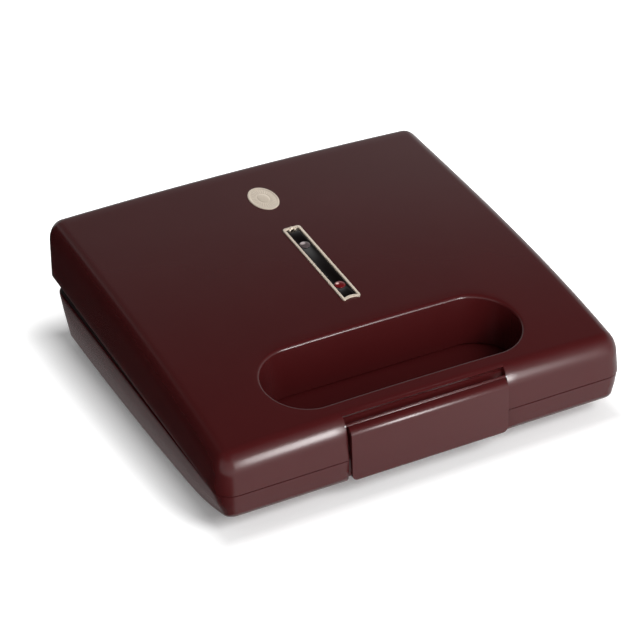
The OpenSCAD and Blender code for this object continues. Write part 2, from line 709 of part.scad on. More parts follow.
module foot() {
  bevel = 0.8;
  barb_z = socket_z + socket_roof + 0.2;
  color(dark_plastic) union() {
    cylinder(r1 = foot_r - bevel, r2 = foot_r, h = bevel, $fn = 48);
    translate([0, 0, bevel]) cylinder(r = foot_r, h = socket_z - bevel, $fn = 48);
    translate([0, 0, socket_z]) cylinder(r = peg_r, h = socket_roof + 1, $fn = 32);
    translate([0, 0, barb_z]) cylinder(r1 = peg_r + 0.7, r2 = peg_r - 0.4, h = 2, $fn = 32);
  }
}
module foot_front_left() { translate([-foot_x, front_y + foot_front, 0]) foot(); }
module foot_front_right() { translate([foot_x, front_y + foot_front, 0]) foot(); }
module foot_rear_left() { translate([-foot_x, rear_y - foot_rear, 0]) foot(); }
module foot_rear_right() { translate([foot_x, rear_y - foot_rear, 0]) foot(); }
module cord_grommet() {
  color(dark_plastic) at_inlet() difference() {
    union() {
      translate([0, 0, inlet_set - flange_h]) cylinder(r = flange_r, h = flange_h, $fn = 48);
      translate([0, 0, inlet_set - 1]) cylinder(r = sleeve_r, h = inner_flange_at - inlet_set + 2, $fn = 48);
      translate([0, 0, inner_flange_at]) cylinder(r = flange_r, h = flange_h, $fn = 48);
    }
    translate([0, 0, -20]) cylinder(r = inlet_r, h = 60, $fn = 48);
  }
}
module terminal_block() {
  pitch = block_l / 3;
  color([0.93, 0.92, 0.88]) translate([block_x, front_y + block_y, block_z]) difference() {
    cube([block_l, block_w, 10]);
    for (i = [0:2]) translate([pitch * (i + 0.5), 0, 0]) {
      translate([0, block_w / 2, 4]) cylinder(r = 2.2, h = 10, $fn = 32);
      translate([0, -1, 5]) rotate([-90, 0, 0]) cylinder(r = 1.6, h = block_w + 2, $fn = 24);
    }
  }
}

// ---------- hinge ----------

// profiles are drawn with the hinge axis at the origin, Y to the rear
module hinge_profile(w, x) {
  translate([hinge_x + x - w / 2, hinge_y, hinge_z]) rotate([90, 0, 90]) linear_extrude(w) children();
}
module hinge_bore(r) { translate([hinge_x, hinge_y, hinge_z]) x_cylinder(r, 60); }
module hinge_post() {
  foot_z = post_seat_z - hinge_z;
  color(dark_plastic) difference() {
    union() {
      hinge_profile(post_w, 0) {
        circle(r = knuckle_r, $fn = 48);
        polygon([[3 - post_front, foot_z], [-post_back_low, foot_z],
          [-post_back_high, -knuckle_r - 0.4], [0, -knuckle_r + 0.4], [0, knuckle_r - 0.2],
          [-3, knuckle_r - 1.4], [-8, -3.2], [3 - post_front, -8]]);
      }
      translate([hinge_x - 7, hinge_y - post_front, post_seat_z]) cube([14, post_front - post_back_low, 4]);
    }
    hinge_bore(hinge_pin_r + pin_gap);
    translate([hinge_x, hinge_y - post_screw_y, 0]) cylinder(r = pilot_r, h = post_seat_z + 11, $fn = 24);
  }
}
lug_x = post_w / 2 + fit_gap + lug_w / 2;
module lid_hinge() {
  y_plate = -14.5;
  color(steel) difference() {
    union() {
      for (s = [-1, 1]) hinge_profile(lug_w, s * lug_x) {
        circle(r = knuckle_r, $fn = 48);
        translate([-knuckle_r, 0]) square([2 * knuckle_r, bracket_low + 0.5]);
      }
      translate([hinge_x - hinge_cut_w / 2 + 1, hinge_y + y_plate, hinge_z + bracket_low])
        cube([hinge_cut_w - 2, knuckle_r - y_plate, bracket_t]);
    }
    hinge_bore(hinge_pin_r + pin_gap);
    for (x = bracket_screw_x) translate([hinge_x + x, hinge_y + bracket_screw_y, hinge_z])
      cylinder(r = pilot_r, h = 30, $fn = 24);
  }
}
module hinge_pin() {
  l = 2 * (lug_x + lug_w / 2) + 2;
  color(steel) translate([hinge_x, hinge_y, hinge_z]) {
    x_cylinder(hinge_pin_r, l);
    x_cylinder(hinge_pin_r + 1, 1, l / 2 + 0.5);
  }
}
module hinge_post_right() { hinge_post(); }
module hinge_post_left() { mirror([1, 0, 0]) hinge_post(); }
module lid_hinge_right() { lid_hinge(); }
module lid_hinge_left() { mirror([1, 0, 0]) lid_hinge(); }
module hinge_pin_right() { hinge_pin(); }
module hinge_pin_left() { mirror([1, 0, 0]) hinge_pin(); }
module lid_hinge_screws() {
  color(steel) at_bracket_screws() translate([0, 0, hinge_z + bracket_low - small_head_t]) {
    cylinder(r = small_head_r, h = small_head_t, $fn = 32);
    cylinder(r = screw_r, h = 10, $fn = 24);
  }
}
module lid_screws() {
  color(steel) at_lid_fixings() translate([0, 0, lid_frame_low]) {
    cylinder(r = small_head_r, h = screw_sink - lid_frame_low, $fn = 32);
    cylinder(r = screw_r, h = lid_pilot_h - 2, $fn = 24);
  }
}

// ---------- indicator strip and medallion ----------

module indicator_bezel() {
  color(rose_metal) on_strip() difference() {
    union() {
      strip_prism(0, -strip_seat, strip_proud);
      strip_prism(-strip_edge / 2, carrier_top + hole_gap, -strip_seat);
    }
    strip_prism(-strip_edge, -10, 10);
  }
  // small domed bead on the rear end
  color(rose_metal) on_strip() translate([0, strip_l / 2 - bead_r, strip_proud - 0.1]) intersection() {
    sphere(r = bead_r, $fn = 32);
    cylinder(r = bead_r, h = bead_r * 0.8, $fn = 32);
  }
}
bead_r = 1.15;
window_top = -1.3;
carrier_t = 1.5;
carrier_top = -wall - 1;
module indicator_window() {
  color([0.03, 0.03, 0.035]) on_strip() difference() {
    strip_prism(-strip_edge - 0.08, carrier_top + hole_gap, window_top);
    for (y = [-red_lamp_at, clear_lamp_at])
      translate([0, y, -8]) cylinder(r = lamp_r + hole_gap, h = 12, $fn = 32);
  }
}
module lamp_carrier() {
  color([0.2, 0.32, 0.22]) on_strip() translate([0, 0, carrier_top - carrier_t]) difference() {
    slab(strip_w / 2 + 1.5, -strip_l / 2 - 3, strip_l / 2 + 3, 0, carrier_t, 2);
    for (y = [-red_lamp_at, clear_lamp_at]) translate([0, y, -1]) cylinder(r = 1, h = carrier_t + 2, $fn = 24);
  }
}
module lamp(y) {
  on_strip() translate([0, y, 0]) {
    translate([0, 0, carrier_top + 0.05])
      cylinder(r = lamp_r, h = window_top - carrier_top, $fn = 32);
    intersection() {
      translate([0, 0, window_top + 0.05 - lamp_r * 0.8]) sphere(r = lamp_r * 1.28, $fn = 32);
      translate([0, 0, window_top]) cylinder(r = lamp_r, h = 4, $fn = 32);
    }
  }
}
module red_lamp() { color([0.75, 0.08, 0.08]) lamp(-red_lamp_at); }
module clear_lamp() { color([0.9, 0.9, 0.88]) lamp(clear_lamp_at); }
module medallion() {
  rim = 1.1;
  t = medallion_seat + 0.4;
  color(rose_metal) on_medallion() translate([0, 0, -medallion_seat]) {
    linear_extrude(t) polygon(ellipse_points(medallion_w / 2, medallion_l / 2, 40));
    translate([0, 0, t]) linear_extrude(0.35)
      polygon(ellipse_points(medallion_w / 2 - rim, medallion_l / 2 - rim, 40));
  }
}

// ---------- clip ----------

barrel_r = 2.8;
clip_face = front_y - clip_proud;
module clip_profile() {
  y0 = clip_face - clip_axis_y;
  z0 = clip_bottom_z - clip_axis_z;
  fold_r = 2.4;
  top = -1.4;
  // drawn with the pivot at the origin, Y to the rear and Z up
  circle(r = barrel_r, $fn = 48);
  polygon(concat(
    [[0.6, barrel_r - 0.07]],
    arc_points([y0 + fold_r, top - fold_r + 1.3], fold_r, 112, 6, 68),
    [[y0, top - 4], [y0 + 0.1, -14], [y0 + 0.5, z0 + 0.6], [y0 + 1, z0],
     [y0 + clip_t + 0.2, z0], [y0 + clip_t + 0.2, z0 + 1.8],
     [y0 + clip_t + 3.6, z0 + 2.2], [y0 + clip_t + 3.7, z0 + 3.6], [y0 + clip_t + 0.4, z0 + 4.6],
     [y0 + clip_t, -14], [y0 + clip_t, top - 5], [y0 + clip_t + 1.4, top - 2.6], [1, -barrel_r + 0.2]]));
}
module clip() {
  color(burgundy) on_clip_axis() difference() {
    intersection() {
      translate([-clip_w / 2, 0, 0]) rotate([90, 0, 90]) linear_extrude(clip_w) clip_profile();
      translate([0, 20, clip_bottom_z - clip_axis_z]) rotate([90, 0, 0]) linear_extrude(40)
        polygon(round_outline(clip_w / 2, 0, 60, 2.2, 6, 1, 1));
    }
    x_cylinder(clip_pin_r + pin_gap, clip_w + 10);
    // the hook stands only behind the middle of the clip
    both_sides() translate([hook_w / 2, clip_face - clip_axis_y + clip_t + 0.3, -40])
      cube([clip_w / 2, 10, 20]);
  }
}
module clip_pin() {
  color(steel) on_clip_axis() x_cylinder(clip_pin_r, clip_space_w + 2 * cheek - 3);
}

base_shell();
front_deck();
base_frame();
lower_plate();
lower_element();
lower_reflector();
lower_plate_screws();
thermostat();
terminal_block();
hinge_post_left();
hinge_post_right();
hinge_pin_left();
hinge_pin_right();
foot_front_left();
foot_front_right();
foot_rear_left();
foot_rear_right();
base_screws();
cord_grommet();
lid_shell();
lid_frame();
upper_plate();
upper_element();
upper_reflector();
upper_plate_screws();
thermal_fuse();
lid_hinge_left();
lid_hinge_right();
lid_hinge_screws();
lid_screws();
indicator_bezel();
indicator_window();
lamp_carrier();
red_lamp();
clear_lamp();
medallion();
clip();
clip_pin();
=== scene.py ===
import json
from math import acos, atan, atan2, cos, degrees, pi, radians, sin

import bmesh
import bpy
from mathutils import Matrix, Vector


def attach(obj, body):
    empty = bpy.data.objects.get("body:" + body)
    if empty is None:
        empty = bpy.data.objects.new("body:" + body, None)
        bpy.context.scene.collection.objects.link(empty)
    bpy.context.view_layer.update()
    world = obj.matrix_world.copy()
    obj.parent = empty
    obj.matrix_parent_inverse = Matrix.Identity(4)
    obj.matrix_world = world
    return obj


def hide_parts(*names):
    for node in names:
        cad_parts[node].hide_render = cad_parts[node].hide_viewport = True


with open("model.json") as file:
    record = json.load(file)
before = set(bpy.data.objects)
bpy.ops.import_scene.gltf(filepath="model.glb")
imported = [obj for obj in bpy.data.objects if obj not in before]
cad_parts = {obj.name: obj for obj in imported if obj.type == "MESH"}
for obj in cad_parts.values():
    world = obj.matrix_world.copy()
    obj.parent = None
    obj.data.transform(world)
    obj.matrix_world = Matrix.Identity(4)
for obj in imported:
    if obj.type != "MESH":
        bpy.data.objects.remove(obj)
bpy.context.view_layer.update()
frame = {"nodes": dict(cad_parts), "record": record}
nodes = frame["nodes"]
scene = bpy.context.scene
print("frame loaded:", len(nodes), "nodes")

# Pieces are modelled in millimetres, in the CAD's own frame, and scaled to metres at the end.
millimetre = 0.001


class Value:
    # a shader socket that takes part in expressions
    def __init__(self, tree, socket):
        self.tree = tree
        self.socket = socket

    def combine(self, operation, first, second=None):
        node = self.tree.nodes.new("ShaderNodeMath")
        node.operation = operation
        for slot, item in enumerate((first, second)):
            if isinstance(item, Value):
                self.tree.links.new(item.socket, node.inputs[slot])
            elif item is not None:
                node.inputs[slot].default_value = item
        return Value(self.tree, node.outputs[0])

    def __add__(self, other):
        return self.combine("ADD", self, other)

    def __radd__(self, other):
        return self.combine("ADD", other, self)

    def __sub__(self, other):
        return self.combine("SUBTRACT", self, other)

    def __rsub__(self, other):
        return self.combine("SUBTRACT", other, self)

    def __mul__(self, other):
        return self.combine("MULTIPLY", self, other)

    def __rmul__(self, other):
        return self.combine("MULTIPLY", other, self)

    def __truediv__(self, other):
        return self.combine("DIVIDE", self, other)

    def __rtruediv__(self, other):
        return self.combine("DIVIDE", other, self)

    def __gt__(self, other):
        return self.combine("GREATER_THAN", self, other)


class Finish:
    # one material with its node tree
    def __init__(self, name):
        self.material = bpy.data.materials.new(name)
        self.material.use_nodes = True
        self.tree = self.material.node_tree
        self.tree.nodes.clear()

    def add(self, kind, settings=None, inputs=None, output=0):
        node = self.tree.nodes.new(kind)
        for key, setting in (settings or {}).items():
            if key == "stops":
                self.fillRamp(node.color_ramp, setting)
            else:
                setattr(node, key, setting)
        for key, item in (inputs or {}).items():
            if isinstance(item, Value):
                self.tree.links.new(item.socket, node.inputs[key])
            else:
                node.inputs[key].default_value = item
        return Value(self.tree, node.outputs[output]) if len(node.outputs) else None

    def fillRamp(self, ramp, stops):
        while len(ramp.elements) < len(stops):
            ramp.elements.new(1)
        for element, (position, colour) in zip(ramp.elements, stops):
            element.position = position
            element.color = (*colour, 1)

    def place(self, stretch=(1, 1, 1), turn=(0, 0, 0)):
        here = self.add("ShaderNodeTexCoord", output=3)
        return self.add("ShaderNodeMapping", {}, {"Vector": here, "Scale": stretch, "Rotation": turn})

    def noise(self, size, detail=3, where=None, rough=0.5):
        # size is the width of a blotch in millimetres
        return self.add("ShaderNodeTexNoise", {}, {
            "Vector": where or self.place(), "Scale": 1 / (size * millimetre),
            "Detail": detail, "Roughness": rough})

    def tint(self, amount, first, second):
        ends = {0: amount, 6: (*first, 1), 7: (*second, 1)}
        return self.add("ShaderNodeMix", {"data_type": "RGBA"}, ends, 2)

    def bump(self, height, strength, depth):
        return self.add("ShaderNodeBump", {}, {"Height": height, "Strength": strength,
                                                "Distance": depth * millimetre})

    def surface(self, **inputs):
        named = {key.replace("_", " "): item for key, item in inputs.items()}
        shader = self.add("ShaderNodeBsdfPrincipled", {}, named)
        self.add("ShaderNodeOutputMaterial", {}, {"Surface": shader})
        return self.material


def mouldedPlastic(name, deep, pale, roughness, grain, specular=0.5):
    # satin moulding: slow drift of the pigment, fine grain, a few polished and dusty places
    f = Finish(name)
    drift = f.noise(45, 4)
    speck = f.noise(0.35, 2)
    worn = f.noise(14, 5, rough=0.65)
    colour = f.tint(drift, deep, pale)
    shine = roughness + 0.07 * (worn - 0.5) + 0.05 * (speck - 0.5)
    return f.surface(Base_Color=colour, Roughness=shine, Specular_IOR_Level=specular,
                     Normal=f.bump(speck + 0.4 * drift, grain, 0.02))


def metal(name, colour, roughness, brushed=(1, 1, 1), metallic=1.0):
    f = Finish(name)
    lines = f.noise(0.5, 3, f.place(stretch=brushed))
    cloud = f.noise(9, 3)
    dark = tuple(c * 0.8 for c in colour)
    return f.surface(Base_Color=f.tint(lines * 0.6 + cloud * 0.4, dark, colour), Metallic=metallic,
                     Roughness=roughness + 0.16 * (lines - 0.5) + 0.1 * (cloud - 0.5),
                     Normal=f.bump(lines, 0.12, 0.02))


def coatedMetal(name):
    # non-stick coating: near black with pale flecks and a slight orange peel
    f = Finish(name)
    peel = f.noise(1.4, 2)
    fleck = f.noise(0.5, 1) > 0.68
    haze = f.noise(22, 4)
    colour = f.tint(fleck * 0.5 + haze * 0.12, (0.017, 0.017, 0.018), (0.12, 0.12, 0.125))
    return f.surface(Base_Color=colour, Roughness=0.42 + 0.12 * (haze - 0.5),
                     Normal=f.bump(peel, 0.25, 0.05))


def mattePiece(name, deep, pale, roughness, size):
    f = Finish(name)
    grain = f.noise(size, 4)
    return f.surface(Base_Color=f.tint(grain, deep, pale), Roughness=roughness + 0.1 * (grain - 0.5),
                     Normal=f.bump(grain, 0.2, 0.05))


def lens(name, deep, pale, paintedHighlight, paintedHighlightAt, paintedHighlightSize):
    # tinted lens with a faint glow of its own tint and a painted highlight, a small bright emitting spot
    # off its centre; places and sizes in millimetres
    f = Finish(name)
    swirl = f.noise(1.6, 2)
    here = f.add("ShaderNodeTexCoord", output=3)
    # distance to the painted highlight's centre; near is its share, full at the centre and none beyond its
    # size
    away = f.add("ShaderNodeVectorMath", {"operation": "DISTANCE"},
                 {0: here, 1: tuple(c * millimetre for c in paintedHighlightAt)}, 1)
    near = f.add("ShaderNodeMapRange", {"interpolation_type": "SMOOTHSTEP"}, {
        "Value": away, "From Min": paintedHighlightSize * 0.45 * millimetre, "From Max": paintedHighlightSize * millimetre,
        "To Min": 1.0, "To Max": 0.0})
    return f.surface(Base_Color=f.tint(swirl, deep, pale), Roughness=0.09 + 0.06 * swirl, IOR=1.5,
                     Emission_Color=f.tint(near, tuple(c * 0.2 for c in pale), paintedHighlight),
                     Emission_Strength=0.7)


# kept under the names of the record's material slots
finishes = {
    "burgundy_plastic": mouldedPlastic("burgundyPlastic", (0.045, 0.0048, 0.0053),
                                       (0.053, 0.0062, 0.0066), 0.25, 0.06, 0.36),
    "dark_plastic": mouldedPlastic("darkPlastic", (0.008, 0.0055, 0.0055), (0.012, 0.009, 0.009),
                                   0.45, 0.15),
    "nonstick": coatedMetal("nonStick"),
    "steel": metal("steel", (0.62, 0.62, 0.63), 0.3, (1, 12, 1)),
    "aluminium_sheet": metal("aluminiumSheet", (0.7, 0.7, 0.7), 0.38, (14, 1, 1)),
    "rose_metal": metal("roseMetal", (0.96, 0.83, 0.68), 0.24, metallic=0.35),
    "rubber": mattePiece("rubber", (0.012, 0.011, 0.011), (0.024, 0.022, 0.022), 0.75, 0.8),
    "ceramic": mattePiece("ceramic", (0.6, 0.57, 0.5), (0.72, 0.69, 0.62), 0.4, 3),
    "board": mattePiece("circuitBoard", (0.03, 0.08, 0.04), (0.05, 0.12, 0.06), 0.5, 1.5),
    "black_gloss": mouldedPlastic("blackGloss", (0.0035, 0.0025, 0.0025), (0.005, 0.0035, 0.0035),
                                  0.07, 0.02, 0.18),
}
print("finishes made:", len(finishes))


def mix(a, b, share):
    return a + (b - a) * share


def loadModified(bm, modifiers):
    # runs modifiers on a bmesh and hands it back
    mesh = bpy.data.meshes.new("work")
    bm.to_mesh(mesh)
    bm.free()
    work = bpy.data.objects.new("work", mesh)
    scene.collection.objects.link(work)
    for kind, settings in modifiers:
        modifier = work.modifiers.new(kind, kind)
        for key, setting in settings.items():
            setattr(modifier, key, setting)
    ready = work.evaluated_get(bpy.context.evaluated_depsgraph_get())
    finished = bmesh.new()
    finished.from_mesh(bpy.data.meshes.new_from_object(ready))
    bpy.data.objects.remove(work)
    bpy.data.meshes.remove(mesh)
    return finished


def cut(bm, tool, operation="DIFFERENCE"):
    mesh = bpy.data.meshes.new("tool")
    tool.to_mesh(mesh)
    tool.free()
    cutter = bpy.data.objects.new("tool", mesh)
    scene.collection.objects.link(cutter)
    made = loadModified(bm, [("BOOLEAN", {"object": cutter, "operation": operation, "solver": "EXACT"})])
    bpy.data.objects.remove(cutter)
    bpy.data.meshes.remove(mesh)
    return made


def block(low, high):
    tool = bmesh.new()
    size = [b - a for a, b in zip(low, high)]
    middle = [(a + b) / 2 for a, b in zip(low, high)]
    bmesh.ops.create_cube(tool, size=1, matrix=Matrix.Translation(middle) @ Matrix.Diagonal((*size, 1)))
    return tool


def bevelSome(bm, edges, width, segments):
    bmesh.ops.bevel(bm, geom=edges, offset=width, affect="EDGES", segments=segments, profile=0.5,
                    material=-1)


def uprights(bm):
    # the vertical edges of a block
    return [e for e in bm.edges if abs(e.verts[0].co.z - e.verts[1].co.z) > 0.01]


def roundEdges(bm, width, segments=3, angle=40):
    # bevels each edge sharper than the angle
    limit = radians(angle)
    sharp = [e for e in bm.edges if e.is_manifold and e.calc_face_angle(0) > limit]
    bmesh.ops.bevel(bm, geom=sharp, offset=width, offset_type="OFFSET", affect="EDGES",
                    segments=segments, profile=0.5, material=-1, clamp_overlap=True)


def finishPiece(bm, name, body, slot, stands=(), sharp=35):
    # sets the shading, scales to metres and ties the piece to its body
    bmesh.ops.remove_doubles(bm, verts=bm.verts, dist=0.001)
    for e in bm.edges:
        e.smooth = not e.is_manifold or e.calc_face_angle(0) < radians(sharp)
    for f in bm.faces:
        f.smooth = True
    bmesh.ops.scale(bm, vec=(millimetre,) * 3, verts=bm.verts)
    mesh = bpy.data.meshes.new(name)
    bm.to_mesh(mesh)
    bm.free()
    mesh.materials.append(finishes[slot])
    piece = bpy.data.objects.new(name, mesh)
    scene.collection.objects.link(piece)
    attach(piece, body)
    if stands:
        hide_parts(*stands)
    print("piece", name, len(mesh.polygons), "faces")
    return piece


def ringSheet(count, rings, place):
    # a circle that is extruded ring by ring, each ring's points set by place(step, ring)
    bm = bmesh.new()
    around = bm.verts.layers.float.new("around")
    bmesh.ops.create_circle(bm, segments=count, radius=1)
    for v in bm.verts:
        v[around] = round(atan2(v.co.y, v.co.x) / (2 * pi) * count) % count
    points, edges = list(bm.verts), list(bm.edges)
    for number, ring in enumerate(rings):
        if number:
            grown = bmesh.ops.extrude_edge_only(bm, edges=edges)["geom"]
            points = [g for g in grown if isinstance(g, bmesh.types.BMVert)]
            kept = set(points)
            edges = [g for g in grown if isinstance(g, bmesh.types.BMEdge) and kept.issuperset(g.verts)]
        for v in points:
            v.co = place(int(v[around]), ring)
    return bm, edges


# Form of the body, as in the CAD. The front is at -y; notch is half the width of the clip's notch.
body = {"halfWidth": 116, "front": -113.65, "rear": 115.35, "corner": 10, "leastCorner": 3, "wall": 2.5,
        "rimFront": 26.1, "rimRear": 42.6, "rimRound": 0.4, "topFront": 48.5, "topRear": 76.7,
        "frontClimb": 17.9, "rearClimb": 5.9, "crown": 2.2, "edgeWidth": 8, "edgeHeight": 11.6,
        "draft": 0.8, "notch": 45.8, "lidNotchDepth": 7, "baseNotchDepth": 9}
tub = {"rimFront": 25.6, "rimRear": 35.6, "rimRound": 0.2, "inset": 0.4, "setback": 8.5, "draft": 3.6,
       "frontShare": 0.3, "bulge": 0.45, "bulgeHeight": 0.55, "band": 0.96, "bandInset": 0.1,
       "bottomRound": 3.5, "keel": 1.7, "keelRise": 2.8, "keelLow": -4, "chinLift": 7.7, "chinDepth": 50,
       "floorRings": (18, 28, 42, 58, 76, 96)}
well = {"length": 144.8, "width": 45.6, "middle": 38.3, "lip": 1.8, "cornerTurn": 16}
bodyDepth = body["rear"] - body["front"]


def along(y):
    return (y - body["front"]) / bodyDepth


def rimHeight(y):
    return mix(body["rimFront"], body["rimRear"], along(y))


def tubRimHeight(y):
    return mix(tub["rimFront"], tub["rimRear"], along(y))


def topHeight(x, y):
    t = along(y)
    a, d = body["topFront"], body["topRear"]
    middle = (a * (1 - t) ** 3 + 3 * (a + body["frontClimb"]) * t * (1 - t) ** 2
              + 3 * (d - body["rearClimb"]) * t * t * (1 - t) + d * t ** 3)
    return middle - body["crown"] * (x / body["halfWidth"]) ** 2


def underHeight(y):
    depth = max(y - body["front"], 0)
    chin = tub["chinLift"] * (1 - depth / tub["chinDepth"]) ** 2 if depth < tub["chinDepth"] else 0
    return tub["keel"] + tub["keelRise"] * ((y - tub["keelLow"]) / 100) ** 2 + chin


def topSlope(y, span):
    return atan((topHeight(0, y + span) - topHeight(0, y - span)) / (2 * span))


def stand(y, tilt):
    # the frame of a piece that lies in the lid's top on the centre line
    return Matrix.Translation((0, y, topHeight(0, y))) @ Matrix.Rotation(tilt, 4, "X")


strip = {"at": 118, "length": 72.6, "width": 10.4, "edge": 1.25, "corner": 1.6, "arch": 1.3, "tip": 1.1,
         "leastShrink": 0.8, "seat": 0.35, "proud": 0.55, "floor": -3.4}
medallion = {"at": 188, "length": 24, "width": 15.8, "seat": 0.7, "rays": 28}
onStrip = stand(body["front"] + strip["at"], topSlope(body["front"] + strip["at"], 30))
onMedallion = stand(body["front"] + medallion["at"], topSlope(body["front"] + medallion["at"], 1))


def joined(*tools):
    # several closed shapes as one bmesh
    whole = bmesh.new()
    for tool in tools:
        mesh = bpy.data.meshes.new("part")
        tool.to_mesh(mesh)
        tool.free()
        whole.from_mesh(mesh)
        bpy.data.meshes.remove(mesh)
    return whole


def rod(radius, low, high, place=Matrix.Identity(4), count=64):
    # a straight round bar along the place's Z axis
    bm = bmesh.new()
    middle = place @ Matrix.Translation((0, 0, (low + high) / 2))
    bmesh.ops.create_cone(bm, cap_ends=True, segments=count, radius1=radius, radius2=radius,
                          depth=high - low, matrix=middle)
    return bm


def stripBlock(grow, low, high):
    # the strip's outline as a block: rounded corners, front end hollowed by an arc
    half, reach = strip["width"] / 2 + grow, strip["length"] / 2 + grow
    bm = block((-half, -reach, low), (half, reach, high))
    bevelSome(bm, uprights(bm), strip["corner"] + max(grow, -strip["leastShrink"]), 6)
    span = strip["width"] / 2 - strip["tip"]
    r = (span ** 2 + strip["arch"] ** 2) / (2 * strip["arch"])
    hollow = Matrix.Translation((0, strip["arch"] - r - strip["length"] / 2, 0))
    bm = cut(bm, rod(r - grow, low - 1, high + 1, hollow, 96))
    bmesh.ops.transform(bm, matrix=onStrip, verts=bm.verts)
    return bm


def ovalPost(a, b, low, high, place, count=96):
    bm = rod(1, low, high, count=count)
    bmesh.ops.scale(bm, vec=(a, b, 1), verts=bm.verts)
    bmesh.ops.transform(bm, matrix=place, verts=bm.verts)
    return bm


def lathe(profile, place=Matrix.Identity(4), count=64, closed=False):
    # turns a profile of (radius, height) points round the place's Z axis
    bm = bmesh.new()
    points = [bm.verts.new((r, 0, z)) for r, z in profile]
    pairs = list(zip(points, points[1:])) + ([(points[-1], points[0])] if closed else [])
    edges = [bm.edges.new(pair) for pair in pairs]
    bmesh.ops.spin(bm, geom=points + edges, cent=(0, 0, 0), axis=(0, 0, 1), dvec=(0, 0, 0),
                   angle=2 * pi, steps=count, use_merge=True, use_duplicate=False)
    bmesh.ops.remove_doubles(bm, verts=bm.verts, dist=0.0005)
    bmesh.ops.recalc_face_normals(bm, faces=bm.faces)
    bmesh.ops.transform(bm, matrix=place, verts=bm.verts)
    return bm


def roundOff(cx, cz, r, start, end, count=5):
    # points of an arc for a lathe profile
    turns = [radians(mix(start, end, k / count)) for k in range(count + 1)]
    return [(cx + r * cos(a), cz + r * sin(a)) for a in turns]


# steps round an outline: corners, and sides whose front and rear have a step at each edge of the notch
cornerSteps, outerSteps, notchSteps, sideSteps = 10, 9, 16, 30
frontSteps = 2 * outerSteps + notchSteps
sections = [("arc", 0, cornerSteps), ("rear", 0, frontSteps), ("arc", 90, cornerSteps),
            ("left", 0, sideSteps), ("arc", 180, cornerSteps), ("front", 0, frontSteps),
            ("arc", 270, cornerSteps), ("right", 0, sideSteps)]
stations = [(kind, start, k, n) for kind, start, n in sections for k in range(n)]


def crossPlace(k, reach):
    # position across the front or rear, from +reach to -reach; inner rings are narrower than the notch
    notch = min(body["notch"], reach * 0.7)
    if k <= outerSteps:
        return mix(reach, notch, k / outerSteps)
    if k <= outerSteps + notchSteps:
        return mix(notch, -notch, (k - outerSteps) / notchSteps)
    return mix(-notch, -reach, (k - outerSteps - notchSteps) / outerSteps)


def outlinePoint(step, half, low, high, r):
    kind, start, k, n = stations[step]
    if kind == "arc":
        turn = radians(start + 90 * k / n)
        cx = half - r if start in (0, 270) else r - half
        cy = high - r if start in (0, 90) else low + r
        return cx + r * cos(turn), cy + r * sin(turn)
    if kind == "rear":
        return crossPlace(k, half - r), high
    if kind == "front":
        return -crossPlace(k, half - r), low
    if kind == "left":
        return -half, mix(high - r, low + r, k / n)
    return half, mix(low + r, high - r, k / n)


def wellPoint(step, grow):
    kind, start, k, n = stations[step]
    middleY = body["front"] + well["middle"]
    reach = (well["length"] - well["width"]) / 2
    r = well["width"] / 2 + grow
    across = crossPlace(k, body["halfWidth"]) / body["halfWidth"] * reach
    if kind == "rear":
        return across, middleY + r
    if kind == "front":
        return -across, middleY - r
    slip = well["cornerTurn"]
    turns = {("arc", 0): (90 - slip, 90), ("arc", 90): (90, 90 + slip),
             ("left", 0): (90 + slip, 270 - slip), ("arc", 180): (270 - slip, 270),
             ("arc", 270): (270, 270 + slip), ("right", 0): (270 + slip, 450 - slip)}
    turn = radians(mix(*turns[(kind, start)], k / n))
    cx = -reach if (kind, start) in (("arc", 90), ("left", 0), ("arc", 180)) else reach
    return cx + r * cos(turn), middleY + r * sin(turn)


def lidPlace(step, ring):
    kind, a, b, c = ring
    if kind == "well":
        x, y = wellPoint(step, a)
        return x, y, mix(topHeight(x, y), rimHeight(y), b) - c
    inset = a if kind == "wall" else body["draft"] + body["edgeWidth"]
    x, y = outlinePoint(step, body["halfWidth"] - inset, body["front"] + inset, body["rear"] - inset,
                        max(body["corner"] - inset, body["leastCorner"]))
    if kind == "wall":
        return x, y, mix(rimHeight(y), topHeight(x, y) - body["edgeHeight"], b) + c
    wellX, wellY = wellPoint(step, well["lip"])
    x, y = mix(x, wellX, a), mix(y, wellY, a)
    return x, y, topHeight(x, y)


# the lip over the clip, and the clip; y and z are places in the side view
cove = {"y": -111.06, "z": 45.75, "radius": 4.4, "turns": (45, 2), "top": 49.6, "inWall": 0.6,
        "inSide": 0.3, "round": 0.15}
clip = {"width": 89.4, "face": -115.35, "thick": 2.4, "bottom": 14, "corner": 3, "shoulder": 4.6,
        "shoulderZ": 39.9, "round": 0.3, "axisY": -110.25, "axisZ": 44.3, "barrel": 0.95,
        "barrelOut": 0.85, "pivotRadius": 0.85, "pivotIn": 1.5, "pivotEnd": 46.5, "hookWidth": 34,
        "hook": [(-0.2, 0), (3.4, 2.2), (3.7, 2.6), (3.7, 3.6), (0.4, 4.8), (-0.2, 7)],
        "lean": [(0, 31), (0.1, 24), (0.35, 17), (0.5, 13)],
        "back": [(0.2, 13), (0.2, 15.5), (0, 20), (0, 33)]}


def sideShape(points, low, high):
    # a closed (y, z) outline carried from x = low to x = high
    bm = bmesh.new()
    face = bm.faces.new([bm.verts.new((low, y, z)) for y, z in points])
    grown = bmesh.ops.extrude_face_region(bm, geom=[face])["geom"]
    moved = [g for g in grown if isinstance(g, bmesh.types.BMVert)]
    bmesh.ops.translate(bm, vec=(high - low, 0, 0), verts=moved)
    bmesh.ops.recalc_face_normals(bm, faces=bm.faces)
    return bm


